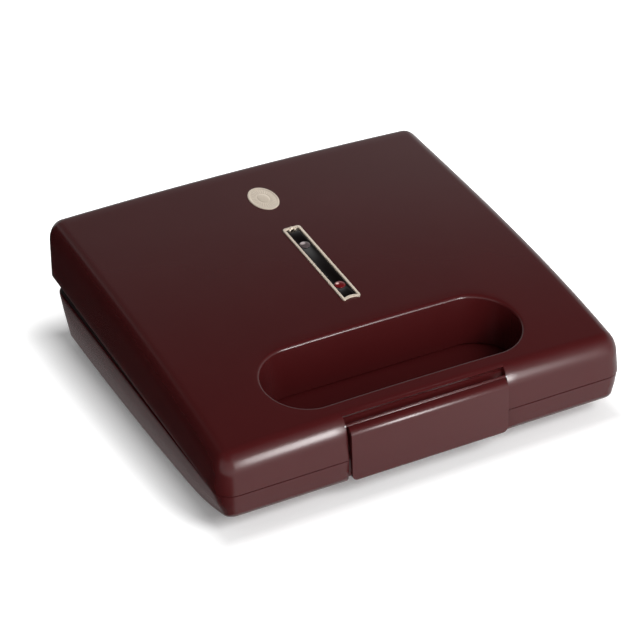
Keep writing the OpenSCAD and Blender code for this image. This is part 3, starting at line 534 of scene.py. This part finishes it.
def openNotch(bm, depth, foot):
    # takes the clip's notch out of a sheet whose edges lie on its borders, then adds its back and sides
    notch, back, near = body["notch"], body["front"] + depth, 0.01
    gone = [f for f in bm.faces
            if all(abs(v.co.x) < notch + near and v.co.y < back + near for v in f.verts)]
    bmesh.ops.delete(bm, geom=gone, context="FACES")
    rear = [e for e in bm.edges if e.is_boundary
            and all(abs(v.co.x) < notch + near and abs(v.co.y - back) < near for v in e.verts)]
    for g in bmesh.ops.extrude_edge_only(bm, edges=rear)["geom"]:
        if isinstance(g, bmesh.types.BMVert):
            g.co.z = foot(g.co.y)
    for side in (-1, 1):
        border = [e for e in bm.edges if e.is_boundary
                  and all(abs(v.co.x - side * notch) < near and v.co.y < back + near for v in e.verts)]
        corners = [v for v in {v for e in border for v in e.verts}
                   if sum(e in border for e in v.link_edges) == 1]
        border.append(bm.edges.new(corners))
        bmesh.ops.contextual_create(bm, geom=border)


def thicken(bm, upward):
    # the faces of an open sheet look outwards, and its wall grows inwards
    bmesh.ops.recalc_face_normals(bm, faces=bm.faces)
    if (sum(f.normal.z * f.calc_area() for f in bm.faces) > 0) != upward:
        bmesh.ops.reverse_faces(bm, faces=bm.faces)
    wall = {"thickness": body["wall"], "offset": -1, "use_even_offset": False}
    return loadModified(bm, [("SOLIDIFY", wall)])


def clipCove():
    # lip along the notch's upper edge, hollow underneath, so that the wall over the clip stays dark
    back = body["front"] + body["lidNotchDepth"]
    hollow = roundOff(cove["y"], cove["z"], cove["radius"], *cove["turns"], 10)
    inside = back + cove["inWall"]
    outline = [(inside, cove["top"] - 0.1), (back, cove["top"])] + hollow + [(inside, hollow[-1][1])]
    half = body["notch"] + cove["inSide"]
    bm = sideShape(outline, -half, half)
    roundEdges(bm, cove["round"], 2, 60)
    return bm


def makeLid():
    settings = {"sideRings": (0, 0.25, 0.5, 0.75, 1), "edgeRings": 14, "topRings": 30, "lipRings": 7,
                "wallRings": 5, "seatGap": 0.1}
    rings = [("wall", body["draft"] * share, share, 0) for share in settings["sideRings"]]
    turns = [90 * k / settings["edgeRings"] for k in range(1, settings["edgeRings"] + 1)]
    # one ring of the rounded edge lies on the back of the clip's notch
    notchTurn = degrees(acos(1 - (body["lidNotchDepth"] - body["draft"]) / body["edgeWidth"]))
    nearest = min(turns, key=lambda a: abs(a - notchTurn))
    for a in (radians(notchTurn if a == nearest else a) for a in turns):
        inset = body["draft"] + body["edgeWidth"] * (1 - cos(a))
        rings.append(("wall", inset, 1, body["edgeHeight"] * sin(a)))
    rings += [("top", k / settings["topRings"], 0, 0) for k in range(1, settings["topRings"] + 1)]
    lip = well["lip"]
    for a in (radians(90 * k / settings["lipRings"]) for k in range(1, settings["lipRings"] + 1)):
        rings.append(("well", lip * (1 - sin(a)), 0, lip * (1 - cos(a))))
    rings += [("well", 0, k / settings["wallRings"], lip * (1 - k / settings["wallRings"]))
              for k in range(1, settings["wallRings"] + 1)]
    bm, _ = ringSheet(len(stations), rings, lidPlace)
    openNotch(bm, body["lidNotchDepth"], rimHeight)
    bm = thicken(bm, upward=True)
    roundEdges(bm, body["rimRound"], 3, 50)
    gap, above, below = settings["seatGap"], 6, -8
    seat = ovalPost(medallion["width"] / 2 + gap, medallion["length"] / 2 + gap, -medallion["seat"],
                    above, onMedallion)
    recesses = (stripBlock(gap, -strip["seat"], above), stripBlock(gap - strip["edge"] / 2, below, above))
    for tool in (*recesses, seat):
        bm = cut(bm, tool)
    bm = joined(bm, clipCove())
    return finishPiece(bm, "lidHousing", "lid", "burgundy_plastic", ["lid_shell"])


def tubPlace(step, ring):
    inset, share, rise = ring
    ease = min(inset, tub["draft"]) * (1 - tub["frontShare"])
    x, y = outlinePoint(step, body["halfWidth"] - tub["inset"] - inset, body["front"] + inset - ease,
                        body["rear"] - tub["setback"] - inset,
                        max(body["corner"] - inset, body["leastCorner"]))
    return x, y, mix(underHeight(y), tubRimHeight(y), share) + rise


def makeTub():
    # rings of (inset, share of the height, rise): rim band, bulging side, rounded foot, flat underside
    bottom, bulge, turn = tub["draft"], tub["draft"] * tub["bulge"], tub["bottomRound"]
    rings = [(0.12, 1, 0), (tub["bandInset"], 0.98, 0), (tub["bandInset"], tub["band"], 0)]
    rings += [(mix(tub["bandInset"], bulge, k / 4), mix(tub["band"], tub["bulgeHeight"], k / 4), 0)
              for k in range(1, 5)]
    rings += [(mix(bulge, bottom, k / 4), mix(tub["bulgeHeight"], 0, k / 4), mix(0, turn, k / 4))
              for k in range(1, 4)]
    for a in (radians(90 - 90 * k / 8) for k in range(9)):
        rings.append((bottom + turn * (1 - sin(a)), 0, turn * (1 - cos(a))))
    notchRing = body["baseNotchDepth"] + tub["draft"] * (1 - tub["frontShare"])
    rings += [(inset, 0, 0) for inset in (notchRing, *tub["floorRings"])]
    bm, last = ringSheet(len(stations), rings, tubPlace)
    bmesh.ops.contextual_create(bm, geom=last)
    openNotch(bm, body["baseNotchDepth"], tubRimHeight)
    bm = thicken(bm, upward=False)
    roundEdges(bm, tub["rimRound"], 2, 50)
    bm = cut(bm, rod(inlet["seat"], -inlet["seatDepth"], -inlet["set"], onInlet, 96), "UNION")
    bm = cut(bm, joined(*tubTools()))
    return finishPiece(bm, "baseHousing", "base", "burgundy_plastic", ["base_shell"])


# what opens or fills the tub: cord inlet, vents, screw recesses, feet and hinge cuts
inlet = {"y": 106.85, "z": 19, "radius": 3.6, "sleeve": 5.9, "flange": 7.6, "seat": 8.6, "set": 0.6,
         "seatDepth": 6, "flangeDepth": 2, "innerFlange": 6.3, "gap": 0.1}
onInlet = Matrix.Translation((0, inlet["y"], inlet["z"])) @ Matrix.Rotation(-pi / 2, 4, "X")
vents = {"x": 42, "pitch": 9, "each": 7, "width": 3, "length": 32}
fixings = [(100, -93.65), (99, 95.35), (32, 95.35), (70, 97.85)]
recess = {"radius": 3.2, "height": 9}
foot = {"radius": 8, "gap": 0.1, "socket": 5.6, "places": [(88, -78.65), (88, 81.35)]}
hinge = {"x": 70, "y": 107.35, "cutWidth": 28.8, "cutLow": 33.9, "cutFront": 5.6}


def bothSides(places):
    return [(side * x, y) for x, y in places for side in (-1, 1)]


def ventSlot(x):
    # a round-ended slot through the underside
    half, reach = vents["width"] / 2, vents["length"] / 2
    bm = block((x - half, -reach, -5), (x + half, reach, 7))
    bevelSome(bm, uprights(bm), half * 0.98, 5)
    return bm


def tubTools():
    tools = [rod(recess["radius"], -5, recess["height"], Matrix.Translation((x, y, 0)), 32)
             for x, y in bothSides(fixings)]
    tools += [rod(foot["radius"] + foot["gap"], -5, foot["socket"], Matrix.Translation((x, y, 0)))
              for x, y in bothSides(foot["places"])]
    middle = (vents["each"] - 1) / 2
    tools += [ventSlot(side * vents["x"] + (k - middle) * vents["pitch"])
              for side in (-1, 1) for k in range(vents["each"])]
    half = hinge["cutWidth"] / 2
    tools += [block((side * hinge["x"] - half, hinge["y"] - hinge["cutFront"], hinge["cutLow"]),
                    (side * hinge["x"] + half, hinge["y"] + 20, 100)) for side in (-1, 1)]
    tools.append(rod(inlet["sleeve"] + inlet["gap"], -20, 5, onInlet))
    return tools


makeLid()
makeTub()


def makeClip():
    # a side view from the pivot edge over the shoulder and down the face, and back up inside
    face, inner, low = clip["face"], clip["face"] + clip["thick"], clip["bottom"]
    half, r, centreZ = clip["width"] / 2, clip["shoulder"], clip["shoulderZ"]
    centreY = face + r
    outer = roundOff(clip["axisY"], clip["axisZ"], clip["barrel"], -40, 118, 10)
    outer += roundOff(centreY, centreZ, r, 92, 180, 14)
    outer += [(face + dy, z) for dy, z in clip["lean"]]
    under = [(inner + dy, z) for dy, z in clip["back"]]
    under += roundOff(centreY, centreZ, r - clip["thick"], 180, 90, 6)
    bm = sideShape(outer + under, -half - 1, half + 1)
    plate = block((-half, face - 3, low), (half, body["front"] + 20, 60))
    lower = [e for e in plate.edges if all(v.co.z < low + 0.1 for v in e.verts)
             and abs(e.verts[0].co.y - e.verts[1].co.y) > 1]
    bevelSome(plate, lower, clip["corner"], 6)
    bm = cut(bm, plate, "INTERSECT")
    turned = Matrix.Rotation(pi / 2, 4, "Y")
    onAxis = Matrix.Translation((0, clip["axisY"], clip["axisZ"])) @ turned
    end = half + clip["barrelOut"]
    bm = cut(bm, rod(clip["barrel"] - 0.06, -end, end, onAxis, 32), "UNION")
    hook = [(inner + dy, low + dz) for dy, dz in clip["hook"]]
    bm = cut(bm, sideShape(hook, -clip["hookWidth"] / 2, clip["hookWidth"] / 2), "UNION")
    roundEdges(bm, clip["round"], 3, 50)
    finishPiece(bm, "frontClip", "clip", "burgundy_plastic", ["clip"])
    spans = [sorted((side * (half - clip["pivotIn"]), side * clip["pivotEnd"])) for side in (-1, 1)]
    stubs = joined(*[rod(clip["pivotRadius"], *span, onAxis, 32) for span in spans])
    roundEdges(stubs, 0.2, 2, 50)
    finishPiece(stubs, "clipPivots", "lid", "steel", ["clip_pin"])


makeClip()


# the strip's window, lamps and beads; heights from the lid's top, places along the strip
window = {"top": -0.3, "gap": 0.08, "lampHole": 3.1, "round": 0.12}
lamps = {"radius": 3.0, "dome": 0.75, "red": -22, "clear": 19, "edge": 0.3, "sunk": 0.05}
bead = {"radius": 1.15, "small": 0.55, "aside": 1.5, "back": 0.9, "smallBack": 2.1, "sunk": 0.2,
        "dome": 0.75}


def makeBezel():
    bm = cut(stripBlock(0, -strip["seat"], strip["proud"]),
             stripBlock(-strip["edge"] / 2, strip["floor"], -strip["seat"] + 0.05), "UNION")
    bm = cut(bm, stripBlock(-strip["edge"], -10, 10))
    roundEdges(bm, 0.3, 3, 60)
    rear = strip["length"] / 2
    level = strip["proud"] - bead["sunk"]
    for x, back, r in ((0, bead["back"], bead["radius"]),
                       (-bead["aside"], bead["smallBack"], bead["small"]),
                       (bead["aside"], bead["smallBack"], bead["small"])):
        # the small beads stand on the window, the large one on the trim
        low = window["top"] - bead["sunk"] if r < bead["radius"] else strip["proud"] - 0.4
        dome = [(0, low), (r, low), (r, level)]
        dome += [(r * cos(a), level + bead["dome"] * r * sin(a)) for a in map(radians, (20, 40, 60, 78))]
        dome.append((0, level + bead["dome"] * r))
        bm = joined(bm, lathe(dome, onStrip @ Matrix.Translation((x, rear - back, 0)), 24))
    finishPiece(bm, "indicatorTrim", "lid", "rose_metal", ["indicator_bezel"])


def makeWindow():
    bm = stripBlock(-strip["edge"] - window["gap"], strip["floor"], window["top"])
    holes = [rod(window["lampHole"], -8, 4, onStrip @ Matrix.Translation((0, lamps[key], 0)), 48)
             for key in ("red", "clear")]
    bm = cut(bm, joined(*holes))
    roundEdges(bm, window["round"], 2, 60)
    finishPiece(bm, "indicatorPane", "lid", "black_gloss", ["indicator_window"])


# tint deep and pale, the painted highlight's colour, its place across and along the strip, and its size
lenses = {"red": ((0.06, 0.003, 0.004), (0.15, 0.007, 0.009), (1.0, 0.72, 0.66), (-1.2, 0.7), 1.15),
          "clear": ((0.035, 0.025, 0.026), (0.1, 0.078, 0.08), (0.5, 0.43, 0.42), (-0.9, 1.0), 1.9)}
for key, (deep, pale, paintedHighlight, (across, on), size) in lenses.items():
    # the painted highlight sits off the lens's centre, to the left and towards the rear
    spot = onStrip @ Vector((across, lamps[key] + on, window["top"] + lamps["dome"]))
    finishes[key + "_lens"] = lens(key + "Lens", deep, pale, paintedHighlight, spot, size)


def makeLamp(key):
    # a lens with a domed front on a straight body
    r, edge, low = lamps["radius"], lamps["edge"], strip["floor"]
    top = window["top"] - lamps["sunk"]
    profile = [(0, low), (r - edge, low), (r, low + edge), (r, top)]
    profile += [(r * cos(radians(a)), top + lamps["dome"] * sin(radians(a))) for a in range(12, 90, 12)]
    profile.append((0, top + lamps["dome"]))
    bm = lathe(profile, onStrip @ Matrix.Translation((0, lamps[key], 0)), 48)
    finishPiece(bm, key + "LampLens", "lid", key + "_lens", [key + "_lamp"])


def medallionPlace(step, ring):
    share, height, wave = ring
    turn = 2 * pi * step / (medallion["rays"] * 8)
    x = medallion["width"] / 2 * share * cos(turn)
    y = medallion["length"] / 2 * share * sin(turn)
    return onMedallion @ Vector((x, y, height + wave * cos(turn * medallion["rays"])))


def makeMedallion():
    # plain raised rim round a field of fine rays and a smooth boss:
    # rings of (share of the radius, height, height of the rays)
    rings = [(0.97, -medallion["seat"], 0), (1.0, -medallion["seat"] + 0.1, 0), (1.0, 0.25, 0),
             (0.985, 0.38, 0), (0.955, 0.45, 0), (0.91, 0.45, 0), (0.88, 0.4, 0), (0.86, 0.28, 0),
             (0.84, 0.24, 0), (0.82, 0.24, 0.03), (0.7, 0.3, 0.06), (0.56, 0.36, 0.06), (0.46, 0.4, 0.04),
             (0.43, 0.36, 0), (0.41, 0.36, 0), (0.39, 0.44, 0), (0.3, 0.54, 0), (0.18, 0.61, 0),
             (0.08, 0.64, 0)]
    bm, last = ringSheet(medallion["rays"] * 8, rings, medallionPlace)
    bmesh.ops.contextual_create(bm, geom=last)
    rest = [e for e in bm.edges if e.is_boundary]
    bmesh.ops.contextual_create(bm, geom=rest)
    bmesh.ops.recalc_face_normals(bm, faces=bm.faces)
    finishPiece(bm, "ovalMedallion", "lid", "rose_metal", ["medallion"])


makeBezel()
makeWindow()
makeLamp("red")
makeLamp("clear")
makeMedallion()


def makeFeet():
    # hollow sole, a groove round the side, and the top in the underside's socket
    r = foot["radius"]
    profile = [(0, 0.9), (2.6, 0.9), (3.0, 0.5), (5.0, 0.5), (5.3, 0.0), (r - 1.1, 0.0)]
    profile += roundOff(r - 0.9, 0.9, 0.9, -75, 0, 4)
    profile += [(r, 2.2), (r - 0.35, 2.5), (r - 0.35, 3.1), (r, 3.4)]
    profile += [(r, foot["socket"] - 0.3), (r - 0.3, foot["socket"]), (0, foot["socket"])]
    names = {(-1, 0): "foot_front_left", (1, 0): "foot_front_right",
             (-1, 1): "foot_rear_left", (1, 1): "foot_rear_right"}
    for (side, row), node in names.items():
        x, y = foot["places"][row]
        words = node.split("_")
        bm = lathe(profile, Matrix.Translation((side * x, y, 0)))
        finishPiece(bm, "rubberFoot" + words[1].title() + words[2].title(), "base", "rubber", [node])


def makeGrommet():
    # a bush with a flange on both sides of the wall and a flared mouth; heights run outwards
    out, inside = -inlet["set"], -inlet["innerFlange"]
    r, f, t = inlet["radius"], inlet["flange"], inlet["flangeDepth"]
    profile = [(inlet["sleeve"], out), (f - 0.2, out)] + roundOff(f - 0.8, out + t - 0.8, 0.8, 0, 90, 5)
    profile += [(r + 1.4, out + t)] + roundOff(r + 1.2, out + t - 1.2, 1.2, 90, 180, 5)
    profile += [(r, inside - t + 0.6), (r + 0.6, inside - t), (f - 0.5, inside - t), (f, inside - t + 0.5),
                (f, inside), (inlet["sleeve"], inside)]
    finishPiece(lathe(profile, onInlet, closed=True), "inletBush", "base", "rubber", ["cord_grommet"])


def islands(bm):
    # the faces of each loose piece
    left = set(bm.faces)
    while left:
        piece, edge = [], [left.pop()]
        while edge:
            f = edge.pop()
            piece.append(f)
            near = {g for v in f.verts for g in v.link_faces} & left
            left -= near
            edge += near
        yield piece


# shares of the head's radius, and depths in millimetres from the top of the head
screwShape = {"flat": 0.62, "dome": [(0.85, 0.18), (0.97, 0.45)], "edge": 0.8, "point": 0.5,
              "recessReach": 0.56, "recessHalf": 0.13, "recessDepth": 1.1}


def screw(faces):
    # a screw on the CAD screw's axis: flat end of the head outermost, cross recess in it
    ends = {}
    for f in faces:
        ends.setdefault(tuple(round(c, 2) for c in f.normal), []).append(f)
    cap = max(ends.values(), key=lambda group: sum(f.calc_area() for f in group))
    out = cap[0].normal.copy()
    area = sum(f.calc_area() for f in cap)
    top = sum((f.calc_center_median() * f.calc_area() for f in cap), Vector()) / area
    away = [(v.co - top, v) for v in {v for f in faces for v in f.verts}]
    depths = [(-offset.dot(out), (offset - out * offset.dot(out)).length) for offset, _ in away]
    # the sizes of the CAD screw: head, whole length, shank and the head's height
    headR, length = max(r for _, r in depths), max(d for d, _ in depths)
    shankR = max((r for d, r in depths if d > length * 0.6), default=headR * 0.5)
    head = max(d for d, r in depths if r > headR * 0.97)
    profile = [(0, 0), (headR * screwShape["flat"], 0)]
    profile += [(headR * share, -depth) for share, depth in screwShape["dome"]]
    profile += [(headR, -screwShape["edge"]), (headR, -head), (shankR, -head)]
    profile += [(shankR, screwShape["point"] - length), (shankR * 0.5, -length), (0, -length)]
    bm = lathe(profile, count=32)
    arm, half = headR * screwShape["recessReach"], headR * screwShape["recessHalf"]
    for reachX, reachY in ((arm, half), (half, arm)):
        bm = cut(bm, block((-reachX, -reachY, -screwShape["recessDepth"]), (reachX, reachY, 1)))
    upright = out.to_track_quat("Z", "Y").to_matrix().to_4x4()
    bmesh.ops.transform(bm, matrix=Matrix.Translation(top) @ upright, verts=bm.verts)
    return bm


def makeScrews(name, node, body):
    # one screw for each loose piece of the CAD node
    cad = bmesh.new()
    cad.from_mesh(nodes[node].data)
    toMillimetres = Matrix.Scale(1 / millimetre, 4) @ nodes[node].matrix_world
    bmesh.ops.transform(cad, matrix=toMillimetres, verts=cad.verts)
    bmesh.ops.remove_doubles(cad, verts=cad.verts, dist=0.001)
    cad.normal_update()
    bm = joined(*[screw(faces) for faces in islands(cad)])
    cad.free()
    finishPiece(bm, name, body, "steel", [node])


makeFeet()
makeGrommet()
for name, node, side in (("housingScrews", "base_screws", "base"),
                         ("lowerPlateScrews", "lower_plate_screws", "base"),
                         ("upperPlateScrews", "upper_plate_screws", "lid"),
                         ("lidScrews", "lid_screws", "lid"),
                         ("hingeScrews", "lid_hinge_screws", "lid")):
    makeScrews(name, node, side)


# the pieces that stay as the CAD has them take their finishes too
for part in frame["record"]["subparts"]:
    mesh = nodes[part["node"]].data
    mesh.materials.clear()
    mesh.materials.append(finishes[part["material_slot"]])
print("nodes finished:", len(nodes))


# studio, in metres; ramps are lists of (position, colour)
studio = {"floorReach": 6.0, "floorColour": (0.9, 0.9, 0.9), "ambient": 0.42,
          # the floor's glow ramp is low near the part's outline, so it paints a shadow there
          "paintedShadowEdge": 0.112, "paintedShadowReach": 0.1, "glossShare": 0.3,
          "floorGlowAndPaintedShadow": [(0.0, (0.08,) * 3), (0.07, (0.3,) * 3), (0.22, (0.72,) * 3), (0.5, (1.0,) * 3)],
          "sweep": [(0.0, (1, 1, 1)), (0.42, (0.8, 0.8, 0.8)), (0.57, (0.3, 0.29, 0.29)),
                    (0.7, (0.14, 0.13, 0.13)), (0.87, (0.03, 0.03, 0.03))],
          # the flag is a sheet seen only in gloss that paints dark reflections on the left sides
          "flagNear": -0.112, "flagFade": 0.02, "flagReach": 1.2, "flagFront": -0.2,
          "flagWall": -0.5, "flagHeight": 0.5,
          "flagPaintedReflection": [(0.0, (0.34, 0.3, 0.3)), (1.0, (0.012, 0.01, 0.01))]}


def rayMask(f, share=1.0):
    # rays that show the background: straight from the camera, or a share of it off gloss or through a lens
    ray = f.tree.nodes.new("ShaderNodeLightPath").outputs
    straight, gloss, through = (Value(f.tree, ray["Is " + kind + " Ray"])
                                for kind in ("Camera", "Glossy", "Transmission"))
    return straight + share * (gloss + through)


def stageMesh(name, bm, material):
    mesh = bpy.data.meshes.new(name)
    bm.to_mesh(mesh)
    bm.free()
    mesh.materials.append(material)
    thing = bpy.data.objects.new(name, mesh)
    scene.collection.objects.link(thing)
    return thing


def makeFloor():
    # pale floor with a painted shadow: its glow is dim close to the part and blends into white further out
    f = Finish("paleFloor")
    grain = f.noise(60, 2)
    tone = f.tint(grain, studio["floorColour"], tuple(c + 0.01 for c in studio["floorColour"]))
    plain = f.add("ShaderNodeBsdfDiffuse", {}, {"Color": tone})
    here = f.add("ShaderNodeTexCoord", output=3)
    edge = studio["paintedShadowEdge"]
    folded = f.add("ShaderNodeVectorMath", {"operation": "ABSOLUTE"}, {0: here})
    beyond = f.add("ShaderNodeVectorMath", {"operation": "SUBTRACT"}, {0: folded, 1: (edge, edge, 0)})
    outside = f.add("ShaderNodeVectorMath", {"operation": "MAXIMUM"}, {0: beyond, 1: (0, 0, 0)})
    away = f.add("ShaderNodeVectorMath", {"operation": "LENGTH"}, {0: outside}, 1)
    # painted shadow: the glow is low at the part's outline and rises with distance, so the floor darkens
    # near the part
    glowAndPaintedShadow = f.add("ShaderNodeValToRGB", {"stops": studio["floorGlowAndPaintedShadow"]}, {"Fac": away / studio["paintedShadowReach"]})
    lit = f.add("ShaderNodeEmission", {}, {"Color": glowAndPaintedShadow})
    bright = f.add("ShaderNodeAddShader", {}, {0: plain, 1: lit})
    seen = f.add("ShaderNodeMixShader", {}, {0: rayMask(f, studio["glossShare"]), 1: plain, 2: bright})
    f.add("ShaderNodeOutputMaterial", {}, {"Surface": seen})
    bm = bmesh.new()
    bmesh.ops.create_grid(bm, x_segments=2, y_segments=2, size=studio["floorReach"])
    stageMesh("floor", bm, f.material)


def showOnlyInGloss(thing):
    thing.visible_camera = False
    thing.visible_diffuse = False
    thing.visible_transmission = False
    thing.visible_shadow = False


def makeFlag():
    # painted dark reflection: a sheet at the left that emits a dark ramp and is seen by gloss only, so
    # that the glossy sides reflect dark and keep their depth
    f = Finish("paintedDarkReflection")
    near, fade, far = studio["flagNear"], studio["flagFade"], studio["flagReach"]
    across = f.add("ShaderNodeSeparateXYZ", {}, {"Vector": f.add("ShaderNodeTexCoord", output=3)}, 0)
    depth = (near - across) / fade
    # emitted colour of the painted reflection: lighter close to the part, near black further out
    paintedReflection = f.add("ShaderNodeValToRGB", {"stops": studio["flagPaintedReflection"]}, {"Fac": depth})
    f.add("ShaderNodeOutputMaterial", {}, {"Surface": f.add("ShaderNodeEmission", {}, {"Color": paintedReflection})})
    front, wall = studio["flagFront"], studio["flagWall"]
    bm = joined(block((-far, front, 0.0004), (near, far, 0.0005)),
                block((wall - 0.01, front, 0.0), (wall, far, studio["flagHeight"])))
    showOnlyInGloss(stageMesh("flag", bm, f.material))


def makeWorld():
    # white surroundings for the camera; gloss sees a white sweep that darkens towards the ceiling
    f = Finish("studioWorld")
    world = bpy.data.worlds.new("studio")
    scene.world = world
    world.use_nodes = True
    f.tree = world.node_tree
    f.tree.nodes.clear()
    ray = f.tree.nodes.new("ShaderNodeLightPath").outputs
    direction = f.add("ShaderNodeTexCoord")
    height = f.add("ShaderNodeSeparateXYZ", {}, {"Vector": direction}, 2)
    sweep = f.add("ShaderNodeValToRGB", {"stops": studio["sweep"]}, {"Fac": height})
    diffuse = f.add("ShaderNodeBackground", {}, {"Strength": studio["ambient"]})
    glossy = f.add("ShaderNodeBackground", {}, {"Color": sweep, "Strength": 1})
    white = f.add("ShaderNodeBackground", {}, {"Color": (1, 1, 1, 1), "Strength": 1})
    gloss = Value(f.tree, ray["Is Glossy Ray"])
    unlit = f.add("ShaderNodeMixShader", {}, {0: gloss, 1: diffuse, 2: glossy})
    seen = Value(f.tree, ray["Is Camera Ray"]) + Value(f.tree, ray["Is Transmission Ray"])
    shown = f.add("ShaderNodeMixShader", {}, {0: seen, 1: unlit, 2: white})
    f.add("ShaderNodeOutputWorld", {}, {"Surface": shown})


def softBox(name, place, aim, size, watts, card=False):
    # a card shows only in gloss, as a reflector does beside the set
    light = bpy.data.lights.new(name, "AREA")
    light.shape = "RECTANGLE"
    light.size, light.size_y = size
    light.energy = watts
    lamp = bpy.data.objects.new(name, light)
    scene.collection.objects.link(lamp)
    lamp.location = place
    lamp.rotation_euler = (Vector(aim) - Vector(place)).to_track_quat("-Z", "Y").to_euler()
    lamp.visible_diffuse = not card
    lamp.visible_glossy = card


def makeCamera():
    # fitted to the outlines in the photograph; angles in degrees, places in metres
    view = {"azimuth": -25.65, "elevation": 31.03, "roll": -2.34, "distance": 1.2177, "lens": 128.26,
            "target": (0, -0.00365, 0.0457), "aside": -0.00486, "above": -0.00846}
    a, e, r = (radians(view[k]) for k in ("azimuth", "elevation", "roll"))
    back = Vector((sin(a) * cos(e), -cos(a) * cos(e), sin(e)))
    level = Vector((cos(a), sin(a), 0))
    upright = back.cross(level)
    right = level * cos(r) + upright * sin(r)
    up = upright * cos(r) - level * sin(r)
    spot = Vector(view["target"]) + back * view["distance"] + right * view["aside"] + up * view["above"]
    data = bpy.data.cameras.new("photoView")
    data.lens = view["lens"]
    data.sensor_width = 36
    data.clip_start = 0.05
    camera = bpy.data.objects.new("photoView", data)
    scene.collection.objects.link(camera)
    camera.matrix_world = Matrix((right, up, back)).transposed().to_4x4()
    camera.location = spot
    scene.camera = camera


makeFloor()
makeWorld()
makeFlag()
softBox("key", (0.35, -1.05, 0.85), (0, -0.02, 0.04), (0.6, 0.6), 15.7)
softBox("fill", (-0.4, -1.5, 0.3), (0, 0, 0.04), (0.8, 0.5), 6.5)
softBox("cardLeft", (0.213, -0.84, 0.17), (-0.06, -0.11, 0.044), (0.1, 0.26), 3.6, card=True)
softBox("cardRight", (0.34, -0.84, 0.17), (0.05, -0.11, 0.044), (0.15, 0.26), 1.5, card=True)
makeCamera()
scene.view_settings.view_transform = "Standard"
print("studio made")
